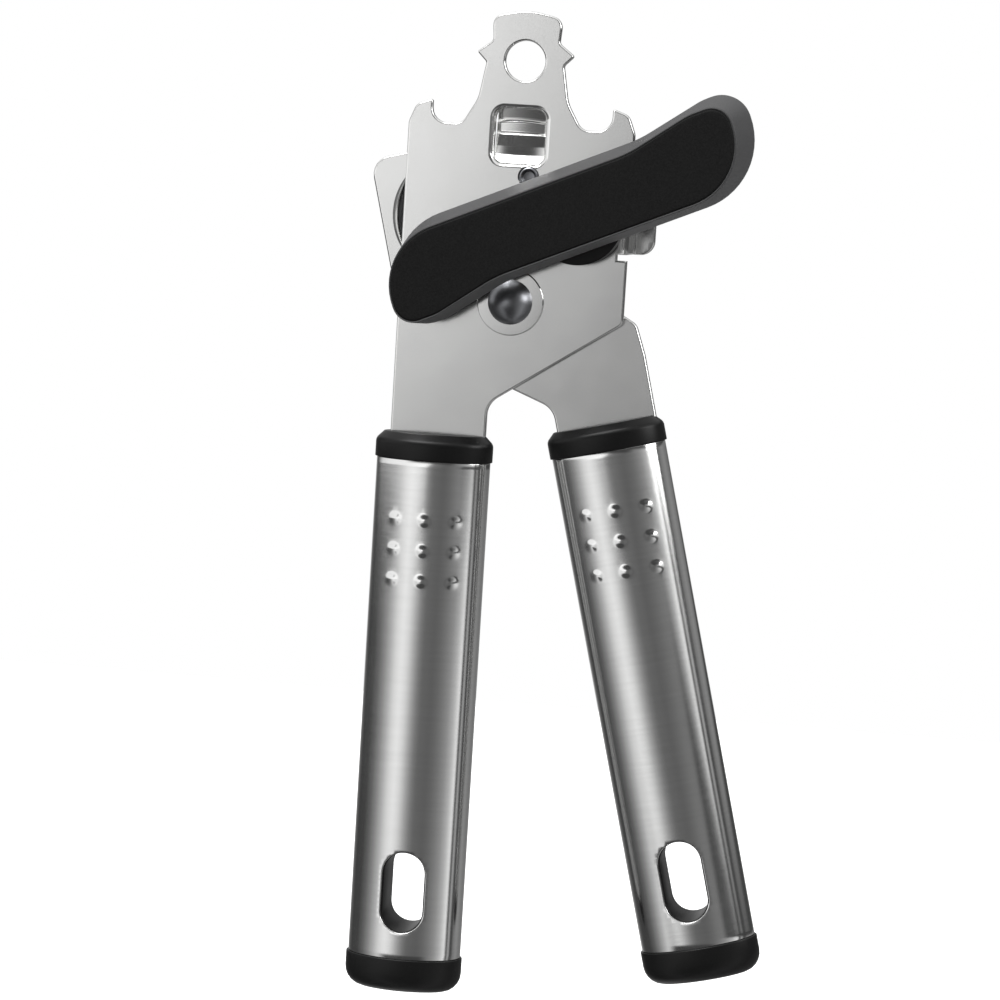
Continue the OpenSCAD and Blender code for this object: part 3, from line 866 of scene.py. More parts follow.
# %% Rear lever's blank
REAR_Y = box("pivot_spacer")[1][1]
DISH_DEPTH = 1.7
DISH_LIP = 13.2
DISH_FLOOR = 10.3
STEP_UP = 28
STEP_SKIP = 5
STUD = 3.0
ON_ARC = 0.12
rear_loops = face_outlines("rear_lever", REAR_Y)
rear_outer = rear_loops[0]
cutter_flat = CUTTER[[0, 2]]
from_cutter = np.linalg.norm(rear_outer - cutter_flat, axis=1)
arc = from_cutter < from_cutter.min() + ON_ARC
first_arc = next(i for i in range(len(arc)) if arc[i] and not arc[i - 1])
ordered = np.roll(rear_outer, -first_arc, 0)
arc = np.roll(arc, -first_arc)
last_arc = max(i for i in range(len(arc)) if arc[: i + 1].all())
closed_pose = swing_flat(ordered, OPEN)
start_x, end_x = closed_pose[0][0], closed_pose[last_arc][0]
step_z = PIVOT[2] + STEP_UP
step_corners = swing_flat([(start_x, step_z), (end_x, step_z)], -OPEN)
rear_blank = np.concatenate([step_corners, ordered[last_arc + STEP_SKIP:]])
rear_blank = split_edges(rear_blank, EDGE_STEP)
stud_hole = circle(cutter_flat, STUD)
print("rear blank", len(rear_blank), "steps at", round(start_x, 2), round(end_x, 2))


# %% Rear lever
def shape_rear(flat, depth):
    reach = np.linalg.norm(flat - cutter_flat, axis=1)
    share = np.clip((DISH_LIP - reach) / (DISH_LIP - DISH_FLOOR), 0, 1)
    drop = DISH_DEPTH * share * share * (3 - 2 * share)
    return np.stack([flat[:, 0], REAR_Y + depth + drop, flat[:, 1]], 1)


dish_rings = np.concatenate([
    circle(cutter_flat, r, 110) for r in [*np.linspace(DISH_FLOOR, DISH_LIP, 12), 7, 5]
])
dish_rings = dish_rings[inside(dish_rings, [inset(rear_blank, EDGE), stud_hole])]
rear_shell = Shell()
rear_edges = [(rear_blank, EDGE)] + [(hole, HIDDEN_EDGE) for hole in [*rear_loops[1:], stud_hole]]
sheet(rear_shell, rear_edges, SHEET, shape_rear, dish_rings)
rear_lever = rear_shell.make("rear_lever_pressing", weld=SHEET_WELD)
weigh_normals(rear_lever, (REAR_Y, -1), (REAR_Y + SHEET, 1))
place(rear_lever, "rear", "pressed_steel", pressed_steel, "rear_lever")

# %% [markdown]
# ## Turned pieces
# The rivet, the washers, the bush, the shaft, the stud and the cutter wheel are all turned on a
# lathe, so each is an outline in (radius, depth) that goes once round its axis. Small rounds on
# the outline's corners catch the light, as a broken edge does.


# %% Lathe
def lathe(name, outline, centre, soft=0.12, count=96, crease=CREASE):
    """Solid of revolution about a line along Y. The outline is closed, in (radius, y[, soft])."""
    corners = [(p[0], p[1], 0 if p[0] == 0 else (p[2] if len(p) > 2 else soft)) for p in outline]
    profile = rounded(corners, 5)
    shell = Shell()
    columns = []
    for turn in np.linspace(0, 2 * math.pi, count, endpoint=False):
        x = centre[0] + profile[:, 0] * math.cos(turn)
        z = centre[2] + profile[:, 0] * math.sin(turn)
        columns.append(np.stack([x, profile[:, 1], z], 1))
    bored = outline[0][0] > 0
    shell.rows([*columns, columns[0]], closed=bored)
    return weigh_normals(shell.make(name, crease))


def domed(radius, height, at, side, steps=14):
    """Outline of a domed head from its edge to its pole, standing out from a depth."""
    ball = (radius**2 + height**2) / (2 * height)
    edge = math.asin(radius / ball)
    angles = np.linspace(edge, 0, steps)
    return [(ball * math.sin(a), at + side * (ball * math.cos(a) - ball + height), 0) for a in angles]


def flat_ring(name, node, centre, bore):
    """A washer that stands for its CAD node."""
    low, high = box(node)
    outside = (high[0] - low[0]) / 2
    corners = [(bore, low[1]), (outside, low[1]), (outside, high[1]), (bore, high[1])]
    return lathe(name, corners, centre, 0.4 * (high[1] - low[1]))


# %% Rivet and its washers
RIVET = 3.0
rivet_low, rivet_high = box("pivot_rivet")
HEAD = (rivet_high[0] - rivet_low[0]) / 2
washer_front = box("pivot_front_washer")[0][1]
washer_back = box("pivot_rear_washer")[1][1]
front_dome = domed(HEAD, washer_front - rivet_low[1], washer_front, -1)
back_dome = domed(HEAD, rivet_high[1] - washer_back, washer_back, 1)
rivet_body = [(RIVET, washer_front, 0), (RIVET, washer_back, 0)]
rivet = lathe("rivet", [*front_dome[::-1], *rivet_body, *back_dome], PIVOT)
place(rivet, "front", "dark_steel", dark_steel, "pivot_rivet")
for node in ("pivot_front_washer", "pivot_rear_washer"):
    washer = flat_ring(node.replace("pivot_", "") + "_disc", node, PIVOT, RIVET)
    place(washer, "front", "pressed_steel", polished_steel, node)

# %% Stop pin and bush
pin_low, pin_high = box("stop_pin")
pin_centre = middle("stop_pin")
PIN = (pin_high[0] - pin_low[0]) / 2
pin_outline = [
    (0, pin_low[1] + 0.7), (PIN - 1.0, pin_low[1] + 0.6, 0.3), (PIN - 0.55, pin_low[1], 0.2),
    (PIN, pin_low[1] + 0.35, 0.3), (PIN, pin_high[1], 0.3), (0, pin_high[1]),
]
place(lathe("stop_stud", pin_outline, pin_centre), "front", "dark_steel", dark_steel, "stop_pin")

BORE = 3.05
BUSH_R = BORE + 1.5
bush_low, bush_high = box("shaft_bush")
FLANGE = (bush_high[0] - bush_low[0]) / 2
bush_outline = [
    (BORE, bush_low[1]), (FLANGE, bush_low[1]), (FLANGE, FRONT_Y, 0), (BUSH_R, FRONT_Y, 0),
    (BUSH_R, bush_high[1]), (BORE, bush_high[1]),
]
place(lathe("key_bush", bush_outline, SHAFT), "front", "brass", brass, "shaft_bush")

# %% Shaft and collar
SHAFT_R = 3.0
SHAFT_HEAD = SHAFT_R + 1.2
shaft_low, shaft_high = box("drive_shaft")
feed_low, feed_high = box("feed_wheel")
shaft_head = domed(SHAFT_HEAD, shaft_high[1] - feed_high[1], feed_high[1], 1)
shaft_outline = [(0, shaft_low[1]), (SHAFT_R, shaft_low[1], 0.4), (SHAFT_R, feed_high[1], 0), *shaft_head]
place(lathe("key_shaft", shaft_outline, SHAFT), "key", "dark_steel", dark_steel, "drive_shaft")

collar_low, collar_high = box("key_collar")
COLLAR = (collar_high[0] - collar_low[0]) / 2
collar_outline = [
    (0, collar_low[1]), (COLLAR, collar_low[1], 0.3), (COLLAR, collar_high[1], 0.7), (0, collar_high[1]),
]
boss = lathe("round_collar", collar_outline, (collar_low + collar_high) / 2)
place(boss, "key", "key_plastic", black_plastic, "key_collar")

# %% Cutter wheel and its stud
cutter_low, cutter_high = box("cutter_wheel")
CUTTER_R = (cutter_high[0] - cutter_low[0]) / 2
CUTTER_BORE = STUD + 0.05
BEVEL = 2.4
CUTTING_EDGE = 0.15
cutter_outline = [
    (CUTTER_BORE, cutter_low[1]), (CUTTER_R, cutter_low[1], 0.02),
    (CUTTER_R, cutter_low[1] + CUTTING_EDGE, 0.04), (CUTTER_R - BEVEL, cutter_high[1], 0.3),
    (CUTTER_BORE, cutter_high[1]),
]
cutter = lathe("cutting_wheel", cutter_outline, CUTTER, count=160, crease=math.radians(20))
place(cutter, "cutter", "cutter_steel", cutter_steel, "cutter_wheel")

stud_low, stud_high = box("cutter_stud")
STUD_HEAD = (stud_high[0] - stud_low[0]) / 2
STUD_SMALL = STUD_HEAD - 0.6
dish_front = REAR_Y + DISH_DEPTH
head_front = stud_high[1] - 1.1
stud_outline = [
    (0, stud_low[1]), (STUD_SMALL, stud_low[1], 0.5), (STUD_SMALL, dish_front, 0), (STUD, dish_front, 0),
    (STUD, head_front, 0), (STUD_HEAD, head_front, 0.15), (STUD_HEAD, stud_high[1], 0.6),
    (0, stud_high[1]),
]
place(lathe("wheel_stud", stud_outline, CUTTER), "rear", "dark_steel", dark_steel, "cutter_stud")

# %% [markdown]
# ## Feed wheel
# The teeth that grip a can's rim repeat round the wheel, so Geometry Nodes place them: a circle of
# points, one tooth on each, turned outwards. The number, the radius and the tooth's sizes are
# inputs of the tree. The result becomes a plain mesh before it rides on the key's body.


# %% Teeth by Geometry Nodes
TOOTH_TIP = 0.4
HALF_DIAGONAL = math.sqrt(0.5)


def tooth_tree(finish):
    """Tree that stands teeth round a wheel whose axis is along Y."""
    tree = bpy.data.node_groups.new("wheel_teeth", "GeometryNodeTree")

    def offer(name, kind, in_out="INPUT"):
        tree.interface.new_socket(name, in_out=in_out, socket_type=f"NodeSocket{kind}")

    def add(kind, sockets=(), **settings):
        """First output of a new node: its settings, then the values or links of its sockets."""
        node = tree.nodes.new(kind)
        for key, value in settings.items():
            setattr(node, key, value)
        for key, value in dict(sockets).items():
            if isinstance(value, bpy.types.NodeSocket):
                tree.links.new(value, node.inputs[key])
            else:
                node.inputs[key].default_value = value
        return node.outputs[0]

    offer("Geometry", "Geometry")
    for name in ("Root radius", "Tooth height", "Tooth width", "Wheel width"):
        offer(name, "Float")
    offer("Teeth", "Int")
    offer("Centre", "Vector")
    offer("Geometry", "Geometry", "OUTPUT")
    given = tree.nodes.new("NodeGroupInput").outputs
    rim = add("GeometryNodeMeshCircle", {"Vertices": given["Teeth"], "Radius": given["Root radius"]})
    upright = add("GeometryNodeTransform", {"Geometry": rim, "Rotation": (math.pi / 2, 0, 0)})
    tooth = add("GeometryNodeMeshCone", {
        "Vertices": 4, "Depth": given["Tooth height"],
        "Radius Bottom": HALF_DIAGONAL, "Radius Top": HALF_DIAGONAL * TOOTH_TIP,
    })
    square = add("GeometryNodeTransform", {"Geometry": tooth, "Rotation": (0, 0, math.pi / 4)})
    size = add("ShaderNodeCombineXYZ", {"X": given["Tooth width"], "Y": given["Wheel width"], "Z": 1})
    position = add("GeometryNodeInputPosition")
    ways = {"Primary Axis": position, "Secondary Axis": (0, 1, 0)}
    outward = add("FunctionNodeAxesToRotation", ways, primary_axis="Z", secondary_axis="Y")
    copies = add("GeometryNodeInstanceOnPoints", {
        "Points": upright, "Instance": square, "Rotation": outward, "Scale": size,
    })
    moved = add("GeometryNodeTransform", {"Geometry": copies, "Translation": given["Centre"]})
    both = add("GeometryNodeJoinGeometry", {"Geometry": moved})
    tree.links.new(given["Geometry"], both.node.inputs["Geometry"])
    real = add("GeometryNodeRealizeInstances", {"Geometry": both})
    coat = add("GeometryNodeSetMaterial", {"Geometry": real, "Material": finish})
    tree.links.new(coat, tree.nodes.new("NodeGroupOutput").inputs["Geometry"])
    print("tooth tree of", len(tree.nodes), "nodes")
    return tree


def grown(piece, tree, **values):
    """The piece after a Geometry Nodes tree, as a plain mesh."""
    modifier = piece.modifiers.new(tree.name, "NODES")
    modifier.node_group = tree
    sockets = {s.name: s.identifier for s in tree.interface.items_tree if s.in_out == "INPUT"}
    for key, value in values.items():
        modifier[sockets[key.replace("_", " ")]] = value
    ready = piece.evaluated_get(bpy.context.evaluated_depsgraph_get())
    mesh = bpy.data.meshes.new_from_object(ready)
    piece.modifiers.clear()
    piece.data = mesh
    print(piece.name, "grew to", len(mesh.polygons), "faces")
    return piece


# %% Feed wheel
TEETH = 20
TOOTH = 0.9
TOOTH_WIDTH = 1.5
TOOTH_SHARE = 0.94
FEED_R = (feed_high[0] - feed_low[0]) / 2
ROOT = FEED_R - TOOTH
EMBED = 0.15
TIP_GAP = 0.02
wheel_outline = [(SHAFT_R, feed_low[1]), (ROOT, feed_low[1]), (ROOT, feed_high[1]), (SHAFT_R, feed_high[1])]
feed = lathe("toothed_feed_wheel", wheel_outline, SHAFT, count=120)
grown(
    feed, tooth_tree(feed_steel),
    Root_radius=(ROOT - EMBED) * MM, Tooth_height=(TOOTH + EMBED - TIP_GAP) * MM,
    Tooth_width=TOOTH_WIDTH * MM, Wheel_width=(feed_high[1] - feed_low[1]) * TOOTH_SHARE * MM,
    Teeth=TEETH, Centre=(SHAFT[0] * MM, (feed_high[1] + feed_low[1]) / 2 * MM, SHAFT[2] * MM),
)
feed.data.shade_flat()
place(feed, "key", "dark_steel", feed_steel, "feed_wheel")

# %% [markdown]
# ## Key
# The key is a long S-shaped lever: each end bulges on one side. Its body is moulded with sloped
# sides, and a softer pad is let into its front. Both are lofts of one outline, drawn inwards by
# an amount that follows the slope, and the seam between them is a fine groove.

# %% Key's outline and loft
KEY_ANGLE = math.radians(23.5)
KEY_LEN = 81.6
KEY_W = 17.9
KEY_BULGE = 3
KEY_DRAFT = 1.6
KEY_LEAN = 1.7
KEY_DROP = 0.7


def key_outline(amount):
    """The key's outline drawn inwards, in (length, width)."""
    length, width = KEY_LEN / 2 - amount, KEY_W / 2 - amount
    half = [
        (length * 0.44, width, 26), (length * 0.8, width + KEY_BULGE, 12),
        (length, width + KEY_BULGE, 6 - amount), (length, -width, 14.5 - amount),
    ]
    return rounded(half + [(-x, -z, r) for x, z, r in half], 14)


def key_ring(amount, y):
    """One ring of the loft, turned to the key's angle about the shaft."""
    flat = key_outline(amount)
    c, s = math.cos(KEY_ANGLE), math.sin(KEY_ANGLE)
    flat = flat - np.array([KEY_LEAN, KEY_DROP]) * np.clip(amount / KEY_DRAFT, 0, 1)
    x = SHAFT[0] + flat[:, 0] * c - flat[:, 1] * s
    z = SHAFT[2] + flat[:, 0] * s + flat[:, 1] * c
    return np.stack([x, np.full(len(x), y), z], 1)


def loft(name, profile, ring, crease=CREASE):
    """Closed solid through rings given as (amount, depth)."""
    shell = Shell()
    rings = [ring(amount, y) for amount, y in profile]
    shell.rows(rings)
    shell.cap(rings[0]).cap(rings[-1])
    return shell.make(name, crease)


print("key's outline has", len(key_outline(0)), "points")

# %% Key and pad
SKIRT = 2.6
PAD_RIM = 0.3
BACK_INSET = 4.6
PAD_INSET = 4.8
KEY_BACK = box("key_body")[1][1]
KEY_FRONT, pad_floor = (corner_at[1] for corner_at in box("key_pad"))
pad_edge = KEY_DRAFT + PAD_RIM
key_profile = profile_of([
    (BACK_INSET, KEY_BACK, 0), (0, KEY_BACK, 0.7), (0, KEY_BACK - SKIRT, 1.2),
    (KEY_DRAFT, KEY_FRONT, 0.35), (pad_edge - 0.12, KEY_FRONT + 0.15, 0.2),
    (pad_edge, pad_floor, 0.1), (PAD_INSET, pad_floor, 0),
])
key_body = weigh_normals(loft("key_shell", key_profile, key_ring), (KEY_BACK, 1), (KEY_FRONT, -1))
place(key_body, "key", "key_plastic", key_plastic, "key_body")
pad_profile = profile_of([
    (PAD_INSET, pad_floor, 0), (pad_edge + 0.02, pad_floor, 0.1), (pad_edge + 0.06, KEY_FRONT + 0.02, 0.45),
    (pad_edge + 1.3, KEY_FRONT, 0),
])
key_pad = weigh_normals(loft("soft_key_pad", pad_profile, key_ring), (KEY_FRONT, -1))
place(key_pad, "key", "soft_pad", soft_pad, "key_pad")

# %% [markdown]
# ## Handle frame
# Both handles are the same, so each is made once in its own frame, with its axis along Z through
# the pivot's level, and put in place by one function for each side.

# %% Handle frame
sleeve_low, sleeve_high = box("left_sleeve")
insert_low, insert_high = box("left_insert")
END, TOP = sleeve_low[2] - PIVOT[2], sleeve_high[2] - PIVOT[2]
CORE_END, COLLAR_TOP = insert_low[2] - PIVOT[2], insert_high[2] - PIVOT[2]
CAP_END, PLUG_TOP = (corner_at[2] - PIVOT[2] for corner_at in box("left_end_plug"))
SLEEVE_A = (sleeve_high[0] - sleeve_low[0]) / 2
SLEEVE_B = sleeve_high[1]
PROUD = (insert_high[0] - insert_low[0]) / 2 - SLEEVE_A
WALL = 0.6
SLOT_W = 9.4
SLOT_LEN = 17.2
SLOT_Z = END + 14.3
PUSH_FIT = 0.1


def in_left(points):
    return np.asarray(points) + [-HANDLE_X, 0, PIVOT[2]]


def in_right(points):
    return swing(np.asarray(points) + [HANDLE_X, REAR_MID_Y, PIVOT[2]], -OPEN)


SIDES = {"left": (in_left, "front", brushed_left), "right": (in_right, "rear", brushed_right)}
print("sleeve", SLEEVE_A.round(2), SLEEVE_B.round(2), "from", TOP.round(2), "to", END.round(2))

# %% Oval, its girth and the slot
TABLE_STEPS = 4000
angle_table = np.linspace(-math.pi / 2, 3 * math.pi / 2, TABLE_STEPS + 1)
oval_table = np.stack([SLEEVE_A * np.sin(angle_table), -SLEEVE_B * np.cos(angle_table)], 1)
girth_table = np.concatenate([[0], np.cumsum(np.linalg.norm(np.diff(oval_table, axis=0), axis=1))])
GIRTH = girth_table[-1]
print("girth of the oval", GIRTH.round(2))


def oval_at(u, grow):
    """Points and outward normals on the oval at a distance round it, grown by an amount."""
    angle = np.interp(u, girth_table, angle_table)
    point = np.stack([SLEEVE_A * np.sin(angle), -SLEEVE_B * np.cos(angle)], 1)
    normal = np.stack([np.sin(angle) / SLEEVE_A, -np.cos(angle) / SLEEVE_B], 1)
    normal /= np.linalg.norm(normal, axis=1)[:, None]
    return point + normal * np.reshape(grow, (-1, 1)), normal


def girth_of(x, back):
    """Distance round the oval of points at x on its front or its back."""
    angle = np.arcsin(x / SLEEVE_A)
    return np.interp(math.pi - angle if back else angle, angle_table, girth_table)


def slot_rim(amount, back, count=28, side_count=8):
    """The slot's outline on the oval, drawn into the sheet by an amount."""
    radius, reach = SLOT_W / 2 + amount, (SLOT_LEN - SLOT_W) / 2
    turn = np.linspace(0, math.pi, count)
    upper = np.stack([radius * np.cos(turn), SLOT_Z + reach + radius * np.sin(turn)], 1)
    lower = np.stack([-radius * np.cos(turn), SLOT_Z - reach - radius * np.sin(turn)], 1)
    sides = between(reach, -reach, side_count + 1)
    left = np.stack([np.full(side_count, -radius), SLOT_Z + sides], 1)
    right = np.stack([np.full(side_count, radius), SLOT_Z - sides], 1)
    flat = np.concatenate([upper, left, lower, right])
    return np.stack([girth_of(flat[:, 0], back), flat[:, 1]], 1)


# %% [markdown]
# ## Sleeves
# A sleeve is a rolled sheet. Its blank is as wide as the oval's girth, with the slot cut in front
# and behind, and nine bumps pressed out for grip. The blank is filled with an even mesh, finer
# rings go round each bump, and rolling it up closes the seam.

# %% Sleeve's blank
COLUMNS = 150
BUMP_R = 1.8
BUMP_H = 0.22
BUMP_PITCH = 6.4
BUMP_DROP = 12.6
SLEEVE_EDGE = 0.2
bump_spots = [
    (girth_of((column - 1) * BUMP_PITCH, False), TOP - BUMP_DROP - row * BUMP_PITCH)
    for row in range(3) for column in range(3)
]
columns_u = np.linspace(0, GIRTH, COLUMNS + 1)


def bump_height(flat):
    """Height of the pressed bumps at blank points."""
    height = np.zeros(len(flat))
    for spot in bump_spots:
        reach = np.linalg.norm(flat - spot, axis=1)
        height += BUMP_H * np.cos(np.minimum(reach / BUMP_R, 1) * math.pi / 2) ** 2
    return height


def straight_rim(z):
    return np.stack([columns_u, np.full(len(columns_u), z)], 1)


def blank_border(low, high, rows):
    """Border of a blank that is rolled up, with points at the rows on both sides of its seam."""
    seam = np.stack([np.full(len(rows), GIRTH), rows], 1)
    return np.concatenate([straight_rim(low), seam, straight_rim(high)[::-1], (seam - [GIRTH, 0])[::-1]])


def blank_grid(rows):
    return np.array([(u, z) for u in columns_u[1:-1] for z in rows])


print("bumps on a sleeve:", len(bump_spots))

# %% Sleeves
SLEEVE_ROWS = 90
BUMP_GAP = 0.25


def rolled_sleeve(name, to_place):
    shell = Shell()

    def shape(flat, depth):
        oval, normal = oval_at(flat[:, 0], bump_height(flat) - depth)
        return to_place(np.concatenate([oval, flat[:, 1:]], 1))

    low, high = END + SLEEVE_EDGE, TOP - SLEEVE_EDGE
    row_z = between(low, high, SLEEVE_ROWS)
    edge_loop = blank_border(low, high, row_z)
    slots = [slot_rim(SLEEVE_EDGE, back) for back in (False, True)]
    grid = blank_grid(row_z)
    for spot in bump_spots:
        grid = grid[np.linalg.norm(grid - spot, axis=1) > BUMP_R + BUMP_GAP]
    reaches = [0.01, *between(0, BUMP_R, 8), BUMP_R]
    rings = np.concatenate([circle(spot, r, 32) for spot in bump_spots for r in reaches])
    points, triangles = fill([edge_loop, *slots], np.concatenate([grid, rings]), gap=0.1)
    shell.patch(shape(points, 0.0), triangles)
    shell.patch(shape(points, WALL), triangles)
    rows = rolled_edge(SLEEVE_EDGE, WALL, 3)
    for back in (False, True):
        shell.rows([shape(slot_rim(o, back), d) for o, d in rows])
    for end, inwards in ((TOP, -1), (END, 1)):
        shell.rows([shape(straight_rim(end + inwards * o), d) for o, d in rows], closed=False)
    return shell.make(name)


for side, (to_place, body, finish) in SIDES.items():
    sleeve = rolled_sleeve(f"{side}_grip_sleeve", to_place)
    place(sleeve, body, "brushed_sleeve", finish, f"{side}_sleeve")

# %% [markdown]
# ## Collars
# The collar that holds each lever's tang is one moulding with a core inside the sleeve. It is a
# loft of ovals with a soft shoulder, closed on top round the pocket that the tang goes into.

# %% Collars
OVAL_STEPS = 144
TOP_INSET = 1.3
SHOULDER_DROP = 1.7
CORE = -WALL - PUSH_FIT
SHEET_FIT = SHEET / 2 + PUSH_FIT


def at_height(flat, z):
    return np.concatenate([flat, np.full((len(flat), 1), z)], 1)


def oval_ring(grow, z):
    u = np.linspace(0, GIRTH, OVAL_STEPS, endpoint=False)
    return at_height(oval_at(u, grow)[0], z)


def collar(name, sides, depth, to_place):
    """The core, the shoulder and the pocket between the tang's two sides."""
    profile = profile_of([
        (CORE - 1.0, CORE_END, 0), (CORE, CORE_END, 0.5), (CORE, TOP, 0), (PROUD, TOP, 0.2),
        (PROUD, COLLAR_TOP - SHOULDER_DROP, 1.6), (-TOP_INSET, COLLAR_TOP, 0.5),
        (-TOP_INSET - 0.25, COLLAR_TOP, 0),
    ])
    rings = [oval_ring(grow, z) for grow, z in profile]
    shell = Shell()
    shell.rows([to_place(ring) for ring in rings])
    shell.cap(to_place(rings[0]))
    left, right = sides
    pocket = np.array([
        (left, -SHEET_FIT), (right, -SHEET_FIT), (right, SHEET_FIT), (left, SHEET_FIT),
    ])
    points, triangles = fill([rings[-1][:, :2], pocket])
    shell.patch(to_place(at_height(points, COLLAR_TOP)), triangles)
    upper, lower = (to_place(at_height(pocket, z)) for z in (COLLAR_TOP, COLLAR_TOP - depth))
    shell.rows([upper, lower])
    shell.cap(lower)
    return shell.make(name)


TANG_SIDES = {"left": (2.5 - SLEEVE_A, SLEEVE_A - 1.8), "right": (2.0 - SLEEVE_A, SLEEVE_A - 1.8)}
POCKET = 38.7
for side, (to_place, body, finish) in SIDES.items():
    piece = collar(f"{side}_collar", TANG_SIDES[side], POCKET, to_place)
    place(piece, body, "black_plastic", black_plastic, f"{side}_insert")

# %% [markdown]
# ## End plugs
# The plug closes the sleeve with a rounded cap and lines the slot. Its skin is unrolled like the
# sleeve, along a profile that widens into the cap. The slot's front and back rims are joined by
# the lining, so the slot goes right through the plug.

# %% End plugs
CAP_ROUND = 4.2
CAP_INSET = 4.6
CAP_CROWN = 0.1
LINING_EDGE = 0.35
plug_profile = np.array(profile_of([
    (-CAP_INSET, CAP_END + CAP_CROWN, 0), (PROUD, CAP_END, CAP_ROUND), (PROUD, END, 0.2),
    (CORE, END, 0), (CORE, PLUG_TOP, 0),
]))
plug_lengths = np.linalg.norm(np.diff(plug_profile, axis=0), axis=1)
plug_at = np.concatenate([[0], np.cumsum(plug_lengths)])
plug_shift = plug_at[-1] - PLUG_TOP
print("plug's skin is", round(plug_at[-1], 2), "mm from its end to its top")


def end_plug(name, to_place):
    shell = Shell()

    def shape(flat, depth):
        grow = np.interp(flat[:, 1], plug_at, plug_profile[:, 0])
        oval, _ = oval_at(flat[:, 0], grow - depth)
        z = np.interp(flat[:, 1], plug_at, plug_profile[:, 1])
        return to_place(np.concatenate([oval, z[:, None]], 1))

    def rim(amount, back):
        return slot_rim(amount - PUSH_FIT, back) + [0, plug_shift]

    rows_v = np.concatenate([plug_at[1:-1], np.arange(plug_at[-2] + 1, plug_at[-1] - 0.5, 1.0)])
    edge_loop = blank_border(0, plug_at[-1], rows_v)
    rims = [rim(LINING_EDGE, back) for back in (False, True)]
    points, triangles = fill([edge_loop, *rims], blank_grid(rows_v), gap=0.04)
    shell.patch(shape(points, 0.0), triangles)
    rolled = rolled_edge(LINING_EDGE, 2 * LINING_EDGE)[:5]
    front = [shape(rim(o, False), d) for o, d in rolled]
    back = [shape(rim(o, True), d) for o, d in rolled]
    shell.rows(front + back[::-1])
    for end in (0, plug_at[-1]):
        shell.cap(shape(straight_rim(end)[:-1], 0.0))
    return shell.make(name)


for side, (to_place, body, finish) in SIDES.items():
    piece = end_plug(f"{side}_cap", to_place)
    place(piece, body, "black_plastic", black_plastic, f"{side}_end_plug")

# %% [markdown]
# ## Hidden steel
# The spacer, the thrust washer, the cutter's washer and the two tang pins already have their true
# shape in the frame, so those nodes stay and get a finish.

# %% Finishes of the nodes that stay
for node, finish in {
    "pivot_spacer": pressed_steel, "thrust_washer": pressed_steel, "cutter_washer": pressed_steel,
    "left_tang_pin": dark_steel, "right_tang_pin": dark_steel,
}.items():
    mesh = frame["nodes"][node].data
    mesh.materials.clear()
    mesh.materials.append(finish)
print("kept nodes have their finish")

# %% [markdown]
# ## Floor
# The opener stands over a sheet of pale paper that glows a little. It is one flat quad, so that it
# never stands between the opener and a camera behind it, and the steel does not mirror it.

# %% Floor
FLOOR_DROP = 14
FLOOR = CAD_BOX[0].z / MM - FLOOR_DROP
FLOOR_X, FLOOR_NEAR, FLOOR_FAR = 450, -40, 520
floor_shell = Shell()
floor_corners = [
    (-FLOOR_X, FLOOR_NEAR, FLOOR), (FLOOR_X, FLOOR_NEAR, FLOOR),
    (FLOOR_X, FLOOR_FAR, FLOOR), (-FLOOR_X, FLOOR_FAR, FLOOR),
]
floor_shell.patch(floor_corners, [(0, 1, 2, 3)])
floor = floor_shell.make("floor")
paper = Finish("paper", Roughness=0.9, Specular_IOR_Level=0.1)
paper_grain = paper.noise(paper.place(), 0.4, detail=4.0)
paper.set(Base_Color=paper.mix(paper_grain, (0.93, 0.93, 0.93), (0.95, 0.95, 0.95)))
paper.set(Emission_Color=(1, 1, 1, 1), Emission_Strength=0.5)
floor.data.materials.append(paper.material)
floor.visible_glossy = False
floor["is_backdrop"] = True

# %% [markdown]
# ## Camera
# A long lens looks at the opener from its front, a little from the right and from above, and leans
# by a few degrees. Its three axes are worked out from those angles and become its matrix.

# %% Camera
AZIMUTH, ELEVATION, ROLL = math.radians(8.5), math.radians(5.11), math.radians(3.54)
TARGET = Vector((0.25, 0, -91.9)) * MM
DISTANCE = 0.75
FOCAL = 128.25
SENSOR = 36
FAR_CLIP = 20
level = math.cos(ELEVATION)
back = Vector((math.sin(AZIMUTH) * level, -math.cos(AZIMUTH) * level, math.sin(ELEVATION)))
right = back.cross(Vector((0, 0, 1))).normalized() * -1
up = back.cross(right)
turned_right = right * math.cos(ROLL) + up * math.sin(ROLL)
turned_up = up * math.cos(ROLL) - right * math.sin(ROLL)
camera_data = bpy.data.cameras.new("camera")
camera_data.lens = FOCAL
camera_data.sensor_width = SENSOR
camera_data.clip_end = FAR_CLIP
camera = bpy.data.objects.new("camera", camera_data)
camera.matrix_world = Matrix((
    (turned_right.x, turned_up.x, back.x, 0), (turned_right.y, turned_up.y, back.y, 0),
    (turned_right.z, turned_up.z, back.z, 0), (0, 0, 0, 1),
))
camera.location = TARGET + back * DISTANCE
bpy.context.scene.collection.objects.link(camera)
bpy.context.scene.camera = camera
print("camera at", [round(c, 3) for c in camera.location])

# %% [markdown]
# ## Surroundings
# What polished steel shows is its surroundings, so the world is a ring of soft panels: a bright
# one on the left, a dim one in front on the right, a bright strip beyond it, and dark gaps between
# them. The ring is a ramp over the direction. The levers are high up and mirror its upper part,
# and the sleeves mirror its lower part, so it has two ramps.

# %% Ring of panels
world = bpy.data.worlds.new("studio")
bpy.context.scene.world = world
world.use_nodes = True


def ring_stops(stops):
    """Ramp stops from (direction in degrees from the front, brightness)."""
    return [((angle + 180) / 360, (level, level, level)) for angle, level in stops]


